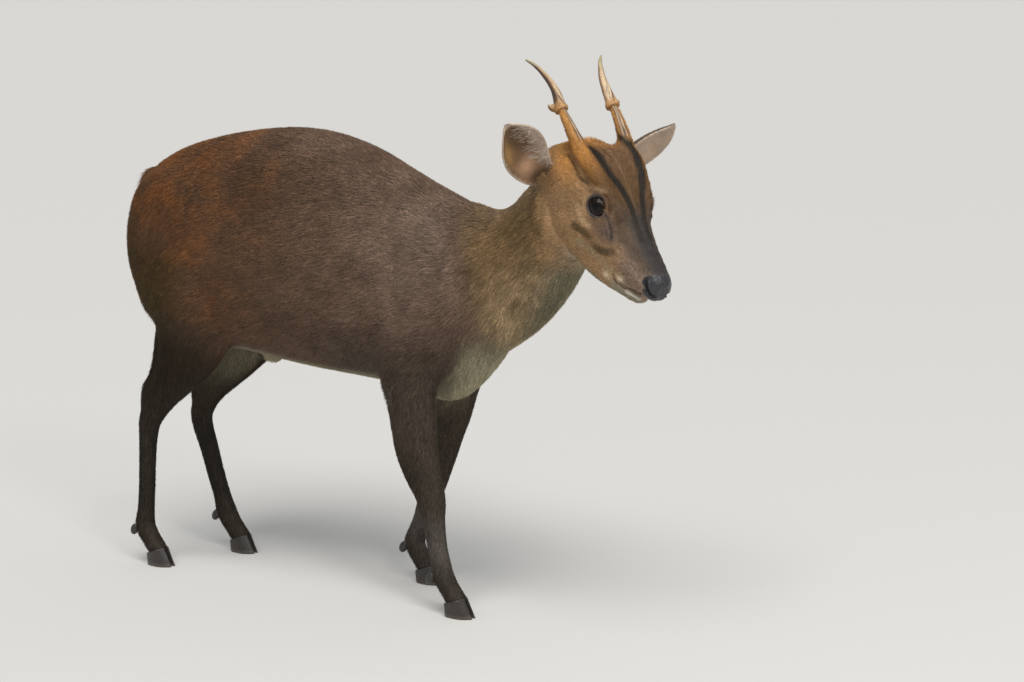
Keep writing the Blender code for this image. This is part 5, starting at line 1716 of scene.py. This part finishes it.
def build_whiskers():
    """Stiff dark hairs beside the nose."""
    points, normals = points_of(skin), normals_of(skin)
    every = head_frame(points)
    local = folded(every)
    places, outs = [], []
    for row in range(4):
        for k in range(6):
            want = np.array((0.196 - 0.0065 * k + 0.002 * row, 0.018 + 0.0007 * k,
                             -0.012 - 0.0055 * row))
            want += rng.normal(0, 0.0006, 3)
            for sign in (-1, 1):
                nearest = np.argmin(np.linalg.norm(local - want, axis=1) + (every[:, 1] * sign < 0))
                places.append(points[nearest])
                outs.append(normals[nearest])
    places, outs = np.array(places), np.array(outs)
    count = len(places)
    back = np.array(HEAD.to_3x3() @ Vector((-0.8, 0, -0.25)))
    ways = back + 0.30 * rng.normal(0, 1, (count, 3))
    length = rng.uniform(0.006, 0.014, count)
    sizes = (length, np.full(count, 0.00024), rng.uniform(0.003, 0.008, count))
    grow("whiskers", places, outs, ways, sizes, np.tile(STRIPE, (count, 1)), head_unwrap(places), LOCK)


def studio():
    """A wide pale floor under an even sky and one broad, soft sun, with a small light for the eyes."""
    half = FLOOR_SIZE / 2
    corners = np.array([(-half, -half, 0), (half, -half, 0), (half, half, 0), (-half, half, 0)])
    floor = new_object("floor", fast_mesh("floor", corners, np.array([(0, 1, 2, 3)])))
    look = material("pale_floor", 0.95, 0.1)
    look.node_tree.nodes["Principled BSDF"].inputs["Base Color"].default_value = (0.70, 0.69, 0.67, 1)
    floor.data.materials.append(look)
    world = bpy.data.worlds.new("studio")
    world.use_nodes = True
    sky = world.node_tree.nodes["Background"].inputs
    sky["Color"].default_value = (0.94, 0.97, 1.0, 1)
    sky["Strength"].default_value = 0.46
    bpy.context.scene.world = world
    sun = bpy.data.lights.new("sun", "SUN")
    sun.energy = 2.1
    sun.angle = math.radians(40)
    sun.color = (1.0, 0.97, 0.92)
    lamp = new_object("sun", sun)
    lamp.rotation_euler = Vector((-0.25, 0.55, -1.0)).to_track_quat("-Z", "Y").to_euler()
    glint = bpy.data.lights.new("eye_light", "AREA")
    glint.energy = 12
    glint.size = 0.5
    lamp = new_object("eye_light", glint)
    lamp.location = (1.9, -1.3, 1.9)
    to_head = Vector((0.25, -0.05, 0.5)) - lamp.location
    lamp.rotation_euler = to_head.to_track_quat("-Z", "Y").to_euler()


def add_camera():
    """The photo's view: so far off, so high, and turned until the framing fits."""
    camera = bpy.data.cameras.new("camera")
    camera.sensor_width = SENSOR_WIDTH
    camera.clip_end = 3 * FLOOR_SIZE
    camera.lens = FOCAL_PIXELS / PHOTO_SIZE[0] * SENSOR_WIDTH
    holder = new_object("camera", camera)
    holder.location = SHIFT + Vector((math.sin(CAMERA_AZIMUTH) * CAMERA_AWAY,
                                      -math.cos(CAMERA_AZIMUTH) * CAMERA_AWAY, CAMERA_HEIGHT))
    yaw = CAMERA_AZIMUTH - math.atan((PHOTO_SIZE[0] / 2 - LOOK_AT_PIXEL[0]) / FOCAL_PIXELS)
    pitch = math.atan((PHOTO_SIZE[1] / 2 - LOOK_AT_PIXEL[1]) / FOCAL_PIXELS)
    holder.rotation_euler = (math.pi / 2 - pitch, 0, yaw)
    bpy.context.scene.camera = holder


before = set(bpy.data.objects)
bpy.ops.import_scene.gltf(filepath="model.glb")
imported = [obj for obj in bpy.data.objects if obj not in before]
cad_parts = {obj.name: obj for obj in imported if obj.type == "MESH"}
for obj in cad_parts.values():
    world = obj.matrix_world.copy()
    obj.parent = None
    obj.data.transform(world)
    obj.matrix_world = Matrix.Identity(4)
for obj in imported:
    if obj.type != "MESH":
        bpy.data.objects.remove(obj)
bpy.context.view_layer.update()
eye_low, eye_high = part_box("eye_right")
SHIFT = (eye_low + eye_high) / 2 - HEAD @ mirrored(EYE, -1)

# Grain of the streaks, roughness, bump and specular
COAT = coat_material("fur", 420.0, 0.62, 0.0, 0.2)
SKIN = coat_material("skin_and_short_fur", 900.0, 0.75, 0.0006, 0.5)
HORN_LOOK = coat_material("antler_horn", 700.0, 0.42, 0.0002, 0.5)
HOOF_LOOK = coat_material("hoof_horn", 600.0, 0.38, 0.0002, 0.5)
EYE_LOOK = coat_material("wet_eye", 500.0, 0.05, 0.0, 0.18)

rng = np.random.default_rng(SEED)
skin = build_skin()
skin_points = points_of(skin)
LAID = lay_lines(skin_points)
dress(skin, SKIN, markings(skin_points), wet_share(skin_points))
grow_coat()
for sign in (-1, 1):
    build_ear(sign)
    build_antler(sign)
    build_eyeball(sign)
    build_lid_rim(sign)
    build_lashes(sign)
build_feet()
build_whiskers()
piece(skin, "coat", "head", "neck", "torso", "tail", *("leg_" + name for name in LEGS))
studio()
add_camera()
bpy.context.scene.view_settings.view_transform = "Standard"
